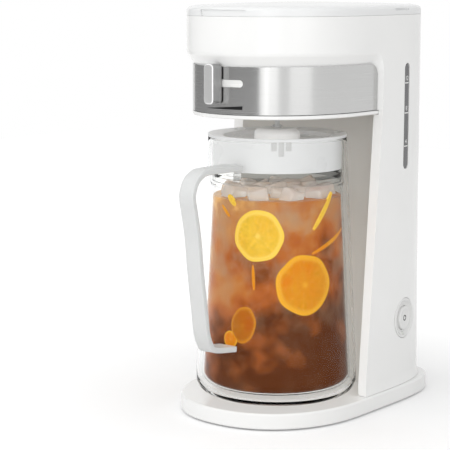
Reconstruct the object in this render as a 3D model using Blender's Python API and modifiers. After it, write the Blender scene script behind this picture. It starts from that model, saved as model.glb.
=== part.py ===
"""Iced tea maker: a drip brewer with a hinged top lid, a strength knob and a double-walled pitcher.

Metres, +Z up, the front of the machine faces -Y. Every piece is modelled about the pitcher's
axis and hangs from one empty, which moves the whole object so that its box stands on the origin.
"""

import math
from collections import namedtuple

import bmesh
import bpy
from mathutils import Matrix, Vector

# Overall machine
CLEARANCE = 0.0003          # gap between pieces that touch
OVERRUN = 0.004             # how far a cutter runs past what it cuts
WALL = 0.0022               # moulded housing wall
TOTAL_HEIGHT = 0.365
FRONT_ANGLES = 8            # steps round each quarter of the front
REAR_ANGLES = 9             # steps round each quarter of the rear
TURN_STEPS = 32             # sides of a large round piece
SMALL_STEPS = 18            # sides of a small round piece

# Head plan, a rounded D seen from above
HEAD_HALF_WIDTH = 0.0825
PLAN_CENTRE_Y = 0.020
HEAD_FRONT = 0.102
FRONT_POWER = 2.15
HEAD_REAR = 0.127
REAR_POWER = 4.0
BODY_TOP = 0.3538
CHAMFER_TOP = 0.3217
CHAMFER_BOTTOM = 0.3120
HEAD_BOTTOM = 0.2711

# Head floor and its lip
FLOOR_BOTTOM = 0.2673
FLOOR_THICKNESS = 0.0034
FLOOR_LIP_ROUND = 0.0012
NOZZLE_HOLE_RADIUS = 0.0125
SEAT_RING_OUTER = 0.0330
SEAT_RING_WALL = 0.0025

# Steel control band
BAND_INSET = 0.0052
BAND_THICKNESS = 0.0010
BAND_END_Y = 0.0435
BAND_CORNER = 0.0100
BAND_STEP = 0.0014
CORNER_STEPS = 4
SLOT_LEFT = -0.0200
SLOT_RIGHT = 0.0180
SLOT_HEIGHT = 0.0064
SLOT_CENTRE_Z = 0.2975
SEAT_SLOT_MARGIN = 0.0009

# Tower
TOWER_FOOT_HALF_WIDTH = 0.0812
TOWER_FOOT_REAR = 0.1330
TOWER_FOOT_Z = 0.0260
FOOT_FLARE = 0.0022
EDGE_TOP_Y = 0.0449         # front edge of the side wall, at the head
EDGE_FOOT_Y = 0.0243        # and at the base
STRIP_TOP_WIDTH = 0.0100    # white strip that faces forward beside the grey panel
STRIP_FOOT_WIDTH = 0.0085
STRIP_SET = 0.0006
PANEL_DEPTH_Y = 0.0800      # deepest line of the hollow front panel
PANEL_THICKNESS = 0.0022
PANEL_COLUMNS = 14
TOWER_LEVEL_SHARES = (0.0, 0.30, 0.62, 0.90)

# Base
BASE_HALF_WIDTH = 0.0845
BASE_CENTRE_Y = 0.012
BASE_FRONT = 0.1005
BASE_FRONT_POWER = 2.2
BASE_REAR = 0.1475
BASE_REAR_POWER = 5.0
BASE_TOP = 0.0155
BASE_RIM = 0.0015
BASE_EDGE_ROUND = 0.0020
BASE_WALL = 0.0024
PLATE_BOTTOM = 0.0023
PLATE_THICKNESS = 0.0020
FOOT_RADIUS = 0.0070
FOOT_PLACES_SHARES = ((-0.62, -0.52), (0.62, -0.52), (-0.76, 0.84), (0.76, 0.84))
SCREW_PLACES_SHARES = ((-0.34, -0.80), (0.34, -0.80), (-0.78, 0.55), (0.78, 0.55))
BOSS_RADIUS = 0.0040
SCREW_HEAD_RADIUS = 0.0030
SCREW_HEAD_HEIGHT = 0.0014
SCREW_RADIUS = 0.0012
SCREW_LENGTH = 0.0090

# Top lid and its hinge
LID_WALL = 0.0022
LID_SIDE_HEIGHT = 0.0041
LID_EDGE_HEIGHT = 0.0084
LID_EDGE_INSET = 0.0060
LID_CROWN_Y = 0.0320
CROWN_SHARES = (0.80, 0.55, 0.28)
RECESS_TOP = 0.3596
RECESS_DEPTH = 0.0014
RECESS_TOP_HALF = 0.0250
RECESS_BOTTOM_HALF = 0.0200
VENT_FRONT_Y = 0.0640
VENT_REAR_Y = 0.0880
VENT_HEIGHT = 0.0018
HINGE_OFFSET = 0.0042
BARREL_RADIUS = 0.0036
PIN_RADIUS = 0.0013
LID_BARREL_HALF = 0.0120
EAR_LENGTH = 0.0170
HINGE_WEB = 0.0026

# Water window
WINDOW_Y = 0.0865
WINDOW_CENTRE_Z = 0.2630
WINDOW_LENGTH = 0.0950
WINDOW_WIDTH = 0.0090
WINDOW_FLANGE = 0.0022
WINDOW_FLANGE_THICKNESS = 0.0010
WINDOW_SINK = 0.0004

# Power button
BUTTON_Y = 0.0900
BUTTON_Z = 0.0770
BEZEL_RADIUS = 0.0185
BEZEL_DISH = 0.0026
BEZEL_TUBE_LENGTH = 0.0110
BEZEL_TUBE_WALL = 0.0016
BUTTON_RADIUS = 0.0110
BUTTON_PROUD = 0.0010
BUTTON_TRAVEL = 0.0015
BUTTON_STEM_RADIUS = 0.0030
LIGHT_RADIUS = 0.0014
LIGHT_OFFSET = 0.0146
SWITCH_WIDTH = 0.0150
SWITCH_HEIGHT = 0.0200
SWITCH_DEPTH = 0.0150

# Strength knob
KNOB_WIDTH = 0.0105
KNOB_DEPTH = 0.0118
KNOB_HEIGHT = 0.0340
KNOB_BOTTOM = 0.2800
KNOB_ROUND = 0.0020
KNOB_ANGLE = math.radians(-4.3)
KNOB_GAP = 0.0009
KNOB_SOCKET = 0.0050
STEM_WIDTH = 0.0046
STEM_HEIGHT = 0.0038
SLIDER_WIDTH = 0.0135
SLIDER_HEIGHT = 0.0140
SLIDER_THICKNESS = 0.0016
SLIDER_WALL_GAP = 0.0011
GUIDE_HALF_ANGLE = math.radians(25.0)
GUIDE_WALL_GAP = 0.0012
GUIDE_HEIGHT = 0.0230
GUIDE_THICKNESS = 0.0014
GUIDE_RAIL = 0.0025
GUIDE_STEPS = 12

# Water tank
TANK_BOTTOM = 0.1000
TANK_TOP = 0.3400
TANK_WALL = 0.0020
TANK_SIDE_GAP = 0.0025
TANK_FRONT_GAP = 0.0020
TANK_LEFT = 0.0540
TANK_LEG_RADIUS = 0.0040
TANK_LEG_INSET = 0.0090
TANK_LEG_SHARES = (0.74, 0.98)
TANK_OUTLET_RADIUS = 0.0042
TANK_ARC_STEPS = 10
OUTLET_X = -0.0200
OUTLET_Y = 0.1180

# Boiler
HEATER_RADIUS = 0.0085
HEATER_HALF_SPAN = 0.0300
HEATER_REAR_Y = 0.1320
HEATER_FRONT_Y = 0.1230
HEATER_Z = 0.0380
HEATER_STEPS = 8
SADDLE_LENGTH = 0.0100
SADDLE_WIDTH = 0.0200
PIPE_RADIUS = 0.0042
PIPE_WALL = 0.0010
PIPE_SIDES = 8
HOSE_RADIUS = 0.0050
HOSE_WALL = 0.0012
PIPE_RISE = 0.0120
THERMOSTAT_RADIUS = 0.0080
THERMOSTAT_HEIGHT = 0.0090
VALVE_BODY_RADIUS = 0.0075
VALVE_BODY_LENGTH = 0.0160
RISER_X = -0.0670
RISER_Y = 0.1000
RISER_TOP = 0.3470
SPRAY_X = -0.0260
SPRAY_Y = 0.0300
SPRAY_DROP = 0.0060

# Brew basket, filter and drip valve
BASKET_TOP = 0.3400
BASKET_FLOOR = 0.2840
BASKET_RIM_RADIUS = 0.0620
BASKET_TOP_RADIUS = 0.0580
BASKET_FLOOR_RADIUS = 0.0520
BASKET_WALL = 0.0018
NOZZLE_RADIUS = 0.0100
NOZZLE_WALL = 0.0018
NOZZLE_BOTTOM = 0.2635
NOZZLE_FLOOR = 0.0018
FILTER_GAP = 0.0012
FILTER_WALL = 0.0008
FILTER_DEPTH = 0.0440
VALVE_PAD_RADIUS = 0.0045
VALVE_PAD_HEIGHT = 0.0020
VALVE_STEM_RADIUS = 0.0022
VALVE_DISC_RADIUS = 0.0062
VALVE_DISC_HEIGHT = 0.0016
VALVE_TRAVEL = 0.0029
VALVE_PAD_GAP = 0.0004
VALVE_SPIKE_RADIUS = 0.0013
SPRING_RADIUS = 0.0040
SPRING_WIRE = 0.0004
SPRING_TURNS = 4
SPRING_TURN_POINTS = 9
SPRING_HEIGHT = 0.0090
RETAINER_THICKNESS = 0.0016
RETAINER_HOLE = 0.0022
RETAINER_HOLES = 3

# Pitcher
PITCHER_SEAT = BASE_TOP + CLEARANCE
PITCHER_WALL = 0.0018
PITCHER_TOP = 0.2456
PITCHER_TOP_RADIUS = 0.0619
PITCHER_FOOT_RADIUS = 0.0726
PITCHER_FOOT_Z = 0.0360
PITCHER_FOOT_RECESS = 0.0014
VESSEL_WALL = 0.0015
VESSEL_FLANGE = 0.0010
VESSEL_MOUTH_RADIUS = 0.0583
VESSEL_SHOULDER_Z = 0.2076
VESSEL_NECK_RADIUS = 0.0570
VESSEL_FOOT_RADIUS = 0.0660
VESSEL_FLOOR = 0.0252
SPOUT_REACH = 0.0050
SPOUT_HALF_ANGLE = math.radians(28.0)
SPOUT_DROP = 0.0300
HANDLE_WIDTH = 0.0155
HANDLE_THICKNESS = 0.0050
HANDLE_ROUND = 0.0010
HANDLE_REACH = 0.1277       # from the pitcher's axis to the outside of the grip
HANDLE_TOP = 0.2270
HANDLE_FOOT = 0.0640
HANDLE_SPAN_STEPS = 3
# Outer edge of the strap: share of the reach, share of the height between foot and top
HANDLE_SHARES = ((0.70, 0.998), (0.80, 1.0), (0.885, 0.990), (0.955, 0.955), (0.996, 0.895),
                 (1.0, 0.845), (0.984, 0.790), (0.948, 0.650), (0.920, 0.460), (0.880, 0.255),
                 (0.857, 0.135), (0.822, 0.065), (0.765, 0.022), (0.66, 0.0))

# Pitcher lid
RIM_RADIUS = 0.0621
RIM_TOP = 0.2499
RIM_BOTTOM = 0.2472
RIM_WIDTH = 0.0034
SKIRT_RADIUS = 0.0579
SKIRT_WALL = 0.0024
SKIRT_BOTTOM = 0.2080
DISH_TOP = 0.2445
DISH_THICKNESS = 0.0016
SEAL_Z = 0.2140
SEAL_HEIGHT = 0.0034
SEAL_DEPTH = 0.0009
STRAINER_ANGLE = math.radians(-40.0)
STRAINER_STEP = math.radians(6.2)
STRAINER_WIDTH = 0.0036
STRAINER_TOP = 0.2455
STRAINER_SHARES = (0.62, 1.0, 0.62)
STRAINER_LENGTH = 0.0125
CAP_RADIUS = 0.0205
CAP_TOP = 0.2543
CAP_NECK_RADIUS = 0.0184
CAP_NECK_BOTTOM = 0.2400
CAP_WALL = 0.0016
CAP_SHOULDER = 0.0040
CAP_HOLE_RADIUS = 0.0050

# Cord gland
GLAND_X = 0.0360
GLAND_Z = 0.0400
GLAND_NECK_RADIUS = 0.0070
GLAND_FLANGE_RADIUS = 0.0092
GLAND_FLANGE = 0.0018
GLAND_BORE = 0.0034
GLAND_SLACK = 0.0008

Plan = namedtuple("Plan", "half_width centre front front_power rear rear_power")
HEAD_PLAN = Plan(HEAD_HALF_WIDTH, PLAN_CENTRE_Y, HEAD_FRONT, FRONT_POWER, HEAD_REAR, REAR_POWER)
BASE_PLAN = Plan(BASE_HALF_WIDTH, BASE_CENTRE_Y, BASE_FRONT, BASE_FRONT_POWER, BASE_REAR, BASE_REAR_POWER)
SEAT_INSET = BAND_INSET + BAND_THICKNESS + CLEARANCE
HINGE_Y = PLAN_CENTRE_Y + HEAD_REAR + HINGE_OFFSET
HINGE_Z = BODY_TOP + CLEARANCE / 2
LID_BOTTOM = BODY_TOP + CLEARANCE


# Scene helpers


def clear_scene():
    for obj in list(bpy.data.objects):
        bpy.data.objects.remove(obj, do_unlink=True)
    for collection in list(bpy.data.collections):
        bpy.data.collections.remove(collection)


def new_collection(name):
    collection = bpy.data.collections.new(name)
    bpy.context.scene.collection.children.link(collection)
    return collection


clear_scene()
PARTS = new_collection("iced_tea_maker")
CUTTERS = new_collection("cutters")
ROOT = bpy.data.objects.new("machine_frame", None)
PARTS.objects.link(ROOT)


def material(name, colour, roughness, metallic=0.0, transmission=0.0):
    made = bpy.data.materials.new(name)
    made.use_nodes = True
    shader = made.node_tree.nodes["Principled BSDF"]
    shader.inputs["Base Color"].default_value = (*colour, 1.0)
    shader.inputs["Roughness"].default_value = roughness
    shader.inputs["Metallic"].default_value = metallic
    shader.inputs["Transmission Weight"].default_value = transmission
    made.diffuse_color = (*colour, 1.0)
    return made


def place(obj, collection, matrix=None):
    collection.objects.link(obj)
    obj.parent = ROOT
    if matrix is not None:
        obj.matrix_local = matrix
    return obj


def mesh_object(name, bm, surface, pivot=None):
    """A part from a bmesh in machine coordinates, its origin moved to the pivot."""
    pivot = Vector(pivot or (0, 0, 0))
    bmesh.ops.translate(bm, vec=-pivot, verts=bm.verts)
    mesh = bpy.data.meshes.new(name)
    bm.to_mesh(mesh)
    bm.free()
    mesh.shade_smooth()
    mesh.set_sharp_from_angle(angle=math.radians(30.0))
    obj = bpy.data.objects.new(name, mesh)
    obj.data.materials.append(surface)
    return place(obj, PARTS, Matrix.Translation(pivot))


def cutter_object(name, bm):
    bmesh.ops.recalc_face_normals(bm, faces=bm.faces)
    mesh = bpy.data.meshes.new(name)
    bm.to_mesh(mesh)
    bm.free()
    obj = bpy.data.objects.new(name, mesh)
    obj.hide_render = True
    obj.display_type = "WIRE"
    return place(obj, CUTTERS)


def boolean(obj, other, operation):
    made = obj.modifiers.new(operation.title(), "BOOLEAN")
    made.operation = operation
    made.solver = "EXACT"
    made.object = other


def cut(obj, *cutters):
    for other in cutters:
        boolean(obj, other, "DIFFERENCE")


def join(obj, *others):
    for other in others:
        boolean(obj, other, "UNION")


def rounded(obj, width, segments=2, angle=math.radians(40.0)):
    made = obj.modifiers.new("Round edges", "BEVEL")
    made.width = width
    made.segments = segments
    made.limit_method = "ANGLE"
    made.angle_limit = angle
    made.use_clamp_overlap = True


# Shape helpers


def between(low, high, share):
    return low + (high - low) * share


def shrink(plan, inset):
    return plan._replace(half_width=plan.half_width - inset, front=plan.front - inset, rear=plan.rear - inset)


def plan_point(plan, angle):
    """The outline at an angle from the front centre, 90 degrees being +X."""
    run, across = -math.cos(angle), math.sin(angle)
    reach, power = (plan.front, plan.front_power) if run < 0 else (plan.rear, plan.rear_power)
    x = plan.half_width * math.copysign(abs(across) ** (2 / power), across)
    y = plan.centre + reach * math.copysign(abs(run) ** (2 / power), run)
    return x, y


def angle_at(plan, y):
    """The outline's angle on +X at a place behind the centre."""
    return math.pi - math.acos(((y - plan.centre) / plan.rear) ** (plan.rear_power / 2))


def wall_x(plan, y):
    share = abs(y - plan.centre) / (plan.rear if y > plan.centre else plan.front)
    power = plan.rear_power if y > plan.centre else plan.front_power
    return plan.half_width * (1 - share**power) ** (1 / power)


def half_angles():
    front = [math.pi / 2 * i / FRONT_ANGLES for i in range(FRONT_ANGLES)]
    rear = [math.pi / 2 + math.pi / 2 * i / REAR_ANGLES for i in range(REAR_ANGLES + 1)]
    return front + rear


def full_angles():
    half = half_angles()
    return half + [-a for a in half[-2:0:-1]]


def plan_ring(plan, z):
    return [(*plan_point(plan, a), z) for a in full_angles()]


def add_rings(bm, rings, wrap=False):
    """Joins rings of points into one skin. A ring of one point is an apex, and the ends are capped."""
    rows = [[bm.verts.new(p) for p in ring] for ring in rings]
    pairs = list(zip(rows, rows[1:])) + ([(rows[-1], rows[0])] if wrap else [])
    for low, high in pairs:
        count = max(len(low), len(high))
        for i in range(count):
            j = (i + 1) % count
            corners = [low[i % len(low)], low[j % len(low)], high[j % len(high)], high[i % len(high)]]
            bm.faces.new(list(dict.fromkeys(corners)))
    if not wrap:
        for end in (rows[0], rows[-1]):
            if len(end) > 1:
                bm.faces.new(end)


def loft(rings, wrap=False):
    bm = bmesh.new()
    add_rings(bm, rings, wrap)
    bmesh.ops.recalc_face_normals(bm, faces=bm.faces)
    return bm


def turned(name, profile, surface, steps=TURN_STEPS, matrix=None):
    """A Screw about local Z. The profile runs down the outside; a closed loop where it misses the axis."""
    points = [(radius, 0, height) for radius, height in profile]
    closed = profile[0][0] > 0
    edges = [(i, i + 1) for i in range(len(points) - 1)] + ([(len(points) - 1, 0)] if closed else [])
    mesh = bpy.data.meshes.new(name)
    mesh.from_pydata(points, edges, [])
    obj = bpy.data.objects.new(name, mesh)
    obj.data.materials.append(surface)
    screw = obj.modifiers.new("Turn", "SCREW")
    screw.steps = screw.render_steps = steps
    screw.use_merge_vertices = True
    screw.merge_threshold = 0.00001
    screw.use_smooth_shade = True
    return place(obj, PARTS, matrix)


def turned_cutter(name, profile, steps=SMALL_STEPS, matrix=None):
    obj = turned(name, profile, CUTTER_MATERIAL, steps, matrix)
    PARTS.objects.unlink(obj)
    CUTTERS.objects.link(obj)
    obj.hide_render = True
    obj.display_type = "WIRE"
    return obj


def disc(radius, low, high):
    """Profile of a solid round bar."""
    return [(0, high), (radius, high), (radius, low), (0, low)]


def tube(outer, inner, low, high):
    return [(outer, high), (outer, low), (inner, low), (inner, high)]


def box(bm, low, high, matrix=None):
    low, high = Vector(low), Vector(high)
    size = Matrix.Diagonal((*(high - low), 1.0))
    made = bmesh.ops.create_cube(bm, size=1.0, matrix=(matrix or Matrix()) @ Matrix.Translation((low + high) / 2) @ size)
    return made["verts"]


def bar(bm, radius, low, high, matrix, segments=SMALL_STEPS):
    """A round bar along the matrix's Z, from low to high."""
    centre = Matrix.Translation((0, 0, (low + high) / 2))
    bmesh.ops.create_cone(bm, cap_ends=True, segments=segments, radius1=radius, radius2=radius,
                          depth=high - low, matrix=matrix @ centre)


def prism(bm, outline, low, high, matrix=None):
    """Extrudes a flat outline, given in the matrix's XY plane, along its Z."""
    matrix = matrix or Matrix()
    rings = [[matrix @ Vector((x, y, z)) for x, y in outline] for z in (low, high)]
    add_rings(bm, rings)
    bmesh.ops.recalc_face_normals(bm, faces=bm.faces)


def stadium(length, width, steps=8):
    """An upright outline with round ends."""
    radius, half = width / 2, (length - width) / 2
    top = [(radius * math.cos(math.pi * i / steps), half + radius * math.sin(math.pi * i / steps)) for i in range(steps + 1)]
    return top + [(-x, -y) for x, y in top]


def arc_points(centre, radius, first, last, steps):
    return [(centre[0] + radius * math.cos(between(first, last, i / steps)),
             centre[1] + radius * math.sin(between(first, last, i / steps))) for i in range(steps + 1)]


def smooth_path(points, spans):
    """A Catmull-Rom curve through the points."""
    points = [Vector(p) for p in points]
    padded = [2 * points[0] - points[1], *points, 2 * points[-1] - points[-2]]
    path = []
    for i in range(1, len(padded) - 2):
        a, b, c, d = padded[i - 1:i + 3]
        for k in range(spans):
            t = k / spans
            path.append(0.5 * (2 * b + (c - a) * t + (2 * a - 5 * b + 4 * c - d) * t**2 + (3 * b - a - 3 * c + d) * t**3))
    return path + [points[-1]]


def round_corners(points, radius, steps=3):
    """Replaces each inner corner of a route with a short curve that starts and ends at the radius."""
    points = [Vector(p) for p in points]
    path = [points[0]]
    for before, corner, after in zip(points, points[1:], points[2:]):
        start = corner + (before - corner).normalized() * min(radius, (before - corner).length / 2)
        end = corner + (after - corner).normalized() * min(radius, (after - corner).length / 2)
        for i in range(steps + 1):
            t = i / steps
            path.append(start * (1 - t) ** 2 + corner * 2 * t * (1 - t) + end * t**2)
    return path + [points[-1]]


def pipe(path, outer, inner, sides=PIPE_SIDES):
    """A hollow tube along a route, with square ends."""
    path = [Vector(p) for p in path]
    side = None
    frames = []
    for i, point in enumerate(path):
        along = (path[min(i + 1, len(path) - 1)] - path[max(i - 1, 0)]).normalized()
        if side is None:
            side = along.orthogonal().normalized()
        side = (side - along * side.dot(along)).normalized()
        frames.append((point, side, along.cross(side)))
    rings = []
    for radius, order in ((outer, frames), (inner, frames[::-1])):
        for point, across, up in order:
            rings.append([point + (across * math.cos(math.tau * k / sides) + up * math.sin(math.tau * k / sides)) * radius
                          for k in range(sides)])
    return loft(rings, wrap=True)


def wall_frame(y, z):
    """On the outside of the +X side wall: local Z points out, local Y up."""
    plan = tower_plan(z)
    x = wall_x(plan, y)
    step = WALL
    run = Vector((wall_x(plan, y + step) - wall_x(plan, y - step), 2 * step, 0)).normalized()
    out = run.cross(Vector((0, 0, 1)))
    across = Vector((0, 0, 1)).cross(out)
    frame = Matrix((across, (0, 0, 1), out)).transposed().to_4x4()
    frame.translation = (x, y, z)
    return frame


# Finishes

WHITE = material("white gloss plastic", (0.86, 0.86, 0.85), 0.22)
GREY = material("light grey plastic", (0.55, 0.55, 0.53), 0.40)
PALE = material("pale inner plastic", (0.74, 0.75, 0.75), 0.45)
BLACK = material("black plastic", (0.03, 0.03, 0.03), 0.50)
RUBBER = material("dark rubber", (0.05, 0.05, 0.05), 0.85)
SILICONE = material("clear silicone", (0.70, 0.71, 0.70), 0.55)
BRUSHED = material("brushed steel", (0.56, 0.56, 0.55), 0.32, 1.0)
SATIN = material("satin steel", (0.62, 0.62, 0.61), 0.28, 1.0)
STEEL = material("bright steel", (0.66, 0.66, 0.66), 0.22, 1.0)
CAST = material("cast aluminium", (0.60, 0.61, 0.62), 0.45, 1.0)
SMOKE = material("smoked clear plastic", (0.10, 0.10, 0.11), 0.10, 0.0, 0.6)
CLEAR = material("clear plastic", (0.93, 0.95, 0.95), 0.04, 0.0, 0.95)
FROSTED = material("frosted clear plastic", (0.82, 0.84, 0.82), 0.28, 0.0, 0.7)
MESH = material("filter mesh", (0.80, 0.78, 0.70), 0.70)
LAMP = material("lamp lens", (0.85, 0.86, 0.84), 0.20)
CUTTER_MATERIAL = material("cutter", (0.9, 0.2, 0.1), 0.5)


# Housing


def tower_plan(z):
    """The tower's outline: it widens to the rear towards the base and flares out at its foot."""
    share = min(1.0, max(0.0, (HEAD_BOTTOM - z) / (HEAD_BOTTOM - TOWER_FOOT_Z)))
    flare = FOOT_FLARE * min(1.0, max(0.0, (TOWER_FOOT_Z - z) / (TOWER_FOOT_Z - BASE_TOP))) ** 2
    return HEAD_PLAN._replace(
        half_width=between(HEAD_HALF_WIDTH, TOWER_FOOT_HALF_WIDTH, share) + flare / 2,
        rear=between(HEAD_REAR, TOWER_FOOT_REAR, share) + flare,
    )


def edge_y(z):
    """The leaning front edge of the tower's side walls."""
    return between(EDGE_FOOT_Y, EDGE_TOP_Y, (z - BASE_TOP) / (HEAD_BOTTOM - BASE_TOP))


def strip_edge(z):
    """Where the white strip ends and the hollow panel begins, on +X."""
    width = between(STRIP_FOOT_WIDTH, STRIP_TOP_WIDTH, (z - BASE_TOP) / (HEAD_BOTTOM - BASE_TOP))
    return wall_x(tower_plan(z), edge_y(z)) - width, edge_y(z) + STRIP_SET


def tower_levels():
    top, low = FLOOR_BOTTOM - CLEARANCE, TOWER_FOOT_Z
    upper = [between(top, low, share) for share in TOWER_LEVEL_SHARES] + [low]
    return upper + [between(low, BASE_TOP, 0.5), BASE_TOP, BASE_TOP - WALL]


def trim_foot(obj):
    """Cuts a wall off level, just above the base."""
    reach = BASE_HALF_WIDTH + BASE_REAR
    bm = bmesh.new()
    box(bm, (-reach, -reach, -OVERRUN), (reach, reach, BASE_TOP + CLEARANCE))
    cut(obj, cutter_object(obj.name + "_foot_trim", bm))


def body_half_surface():
    """The outer skin of the housing on +X: head, recess for the band, side wall and front strip."""
    bm = bmesh.new()

    def column(points):
        return [bm.verts.new(p) for p in points]

    def stitch(left, right):
        for a, b, c, d in zip(left, left[1:], right[1:], right):
            bm.faces.new((a, b, c, d))

    seat = shrink(HEAD_PLAN, SEAT_INSET)
    columns = []
    for i in range(FRONT_ANGLES + 1):
        angle = math.pi / 2 * i / FRONT_ANGLES
        outer, inner = plan_point(HEAD_PLAN, angle), plan_point(seat, angle)
        columns.append(column([(*outer, BODY_TOP), (*outer, CHAMFER_TOP), (*inner, CHAMFER_BOTTOM), (*inner, HEAD_BOTTOM)]))
    corner_y, corner_z = BAND_END_Y - BAND_CORNER, CHAMFER_BOTTOM - BAND_CORNER
    for i in range(CORNER_STEPS + 1):
        turn = math.pi / 2 * i / CORNER_STEPS
        outer_y = corner_y + (BAND_CORNER + BAND_STEP) * math.sin(turn)
        outer_z = corner_z + (CHAMFER_TOP - corner_z) * math.cos(turn)
        inner_y = corner_y + BAND_CORNER * math.sin(turn)
        inner_z = corner_z + BAND_CORNER * math.cos(turn)
        outer_x, inner_x = wall_x(HEAD_PLAN, outer_y), wall_x(seat, inner_y)
        columns.append(column([(outer_x, outer_y, BODY_TOP), (outer_x, outer_y, outer_z),
                               (inner_x, inner_y, inner_z), (inner_x, inner_y, HEAD_BOTTOM)]))
    for left, right in zip(columns, columns[1:]):
        stitch(left, right)

    levels = tower_levels()
    edge = [*columns[-1][:2], *column([(wall_x(tower_plan(z), edge_y(z)), edge_y(z), z) for z in [HEAD_BOTTOM, *levels]])]
    bm.faces.new((columns[-1][1], columns[-1][2], columns[-1][3], edge[2]))
    start = angle_at(HEAD_PLAN, columns[-1][0].co.y)
    previous = edge
    for i in range(1, REAR_ANGLES + 2):
        share = i / (REAR_ANGLES + 1)
        points = [(*plan_point(HEAD_PLAN, between(start, math.pi, share)), z) for z in (BODY_TOP, corner_z)]
        for z in [HEAD_BOTTOM, *levels]:
            plan = tower_plan(z)
            points.append((*plan_point(plan, between(angle_at(plan, edge_y(z)), math.pi, share)), z))
        if i == REAR_ANGLES + 1:
            points = [(0, y, z) for _, y, z in points]
        current = column(points)
        stitch(previous, current)
        previous = current
    strip = column([(*strip_edge(z), z) for z in levels])
    stitch(strip, edge[3:])
    bmesh.ops.recalc_face_normals(bm, faces=bm.faces)
    if sum(face.normal.dot(face.calc_center_median()) for face in bm.faces) < 0:
        bmesh.ops.reverse_faces(bm, faces=bm.faces)
    return bm


def hinge_block(name, half_from, half_to, side, web_low, web_high):
    """One barrel of the lid hinge with the web that joins it to its wall."""
    bm = bmesh.new()
    axis = Matrix.Translation((0, HINGE_Y, HINGE_Z)) @ Matrix.Rotation(math.pi / 2, 4, "Y")
    bar(bm, BARREL_RADIUS, side * half_from if side > 0 else -half_to, side * half_to if side > 0 else -half_from, axis)
    barrel = cutter_object(name + "_barrel", bm)
    bm = bmesh.new()
    left, right = sorted((side * half_from, side * half_to))
    box(bm, (left, HINGE_Y - HINGE_OFFSET - WALL / 2, web_low), (right, HINGE_Y, web_high))
    return barrel, cutter_object(name + "_web", bm)


def hinge_bore():
    bm = bmesh.new()
    axis = Matrix.Translation((0, HINGE_Y, HINGE_Z)) @ Matrix.Rotation(math.pi / 2, 4, "Y")
    reach = LID_BARREL_HALF + EAR_LENGTH + OVERRUN
    bar(bm, PIN_RADIUS + CLEARANCE, -reach, reach, axis)
    return cutter_object("hinge_bore", bm)


def stem_slot(name, height, margin, depth_from, depth_to):
    """A rounded slot through the front, from one Y to another."""
    width = SLOT_RIGHT - SLOT_LEFT + 2 * margin
    centre = Vector(((SLOT_LEFT + SLOT_RIGHT) / 2, 0, SLOT_CENTRE_Z))
    upright = Matrix.Translation(centre) @ Matrix.Rotation(math.pi / 2, 4, "X") @ Matrix.Rotation(math.pi / 2, 4, "Z")
    bm = bmesh.new()
    prism(bm, stadium(width, height), -depth_to, -depth_from, upright)
    return cutter_object(name, bm)


def make_body():
    obj = mesh_object("body_shell", body_half_surface(), WHITE)
    mirror = obj.modifiers.new("Both sides", "MIRROR")
    mirror.merge_threshold = 0.00005
    mirror.use_clip = True
    shell = obj.modifiers.new("Wall", "SOLIDIFY")
    shell.thickness = WALL
    shell.offset = -1
    shell.use_even_offset = True
    ear_from = LID_BARREL_HALF + CLEARANCE
    for side, name in ((-1, "left_ear"), (1, "right_ear")):
        join(obj, *hinge_block(name, ear_from, ear_from + EAR_LENGTH, side, HINGE_Z - BARREL_RADIUS - HINGE_WEB,
                               BODY_TOP - CLEARANCE))
    bore = hinge_bore()
    front_y = PLAN_CENTRE_Y - HEAD_FRONT
    slot = stem_slot("seat_slot", STEM_HEIGHT + 2 * SEAT_SLOT_MARGIN, CLEARANCE, front_y - OVERRUN, front_y + 5 * OVERRUN)

    bm = bmesh.new()
    prism(bm, stadium(WINDOW_LENGTH + 2 * CLEARANCE, WINDOW_WIDTH + 2 * CLEARANCE), -WALL - OVERRUN, OVERRUN,
          wall_frame(WINDOW_Y, WINDOW_CENTRE_Z))
    window = cutter_object("window_slot", bm)
    bm = bmesh.new()
    bar(bm, BEZEL_RADIUS + CLEARANCE, -WALL - OVERRUN, OVERRUN, wall_frame(BUTTON_Y, BUTTON_Z), TURN_STEPS)
    button = cutter_object("button_hole", bm)
    bm = bmesh.new()
    bar(bm, GLAND_NECK_RADIUS + CLEARANCE, -GLAND_FLANGE - OVERRUN - WALL, OVERRUN, gland_frame())
    gland = cutter_object("gland_hole", bm)
    cut(obj, bore, slot, window, button, gland)
    trim_foot(obj)
    return obj


def panel_arc(z):
    """Centre and radius of the hollow panel's curve at a height."""
    x, y = strip_edge(z)
    centre = (PANEL_DEPTH_Y**2 - x**2 - y**2) / (2 * (PANEL_DEPTH_Y - y))
    return centre, PANEL_DEPTH_Y - centre


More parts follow.
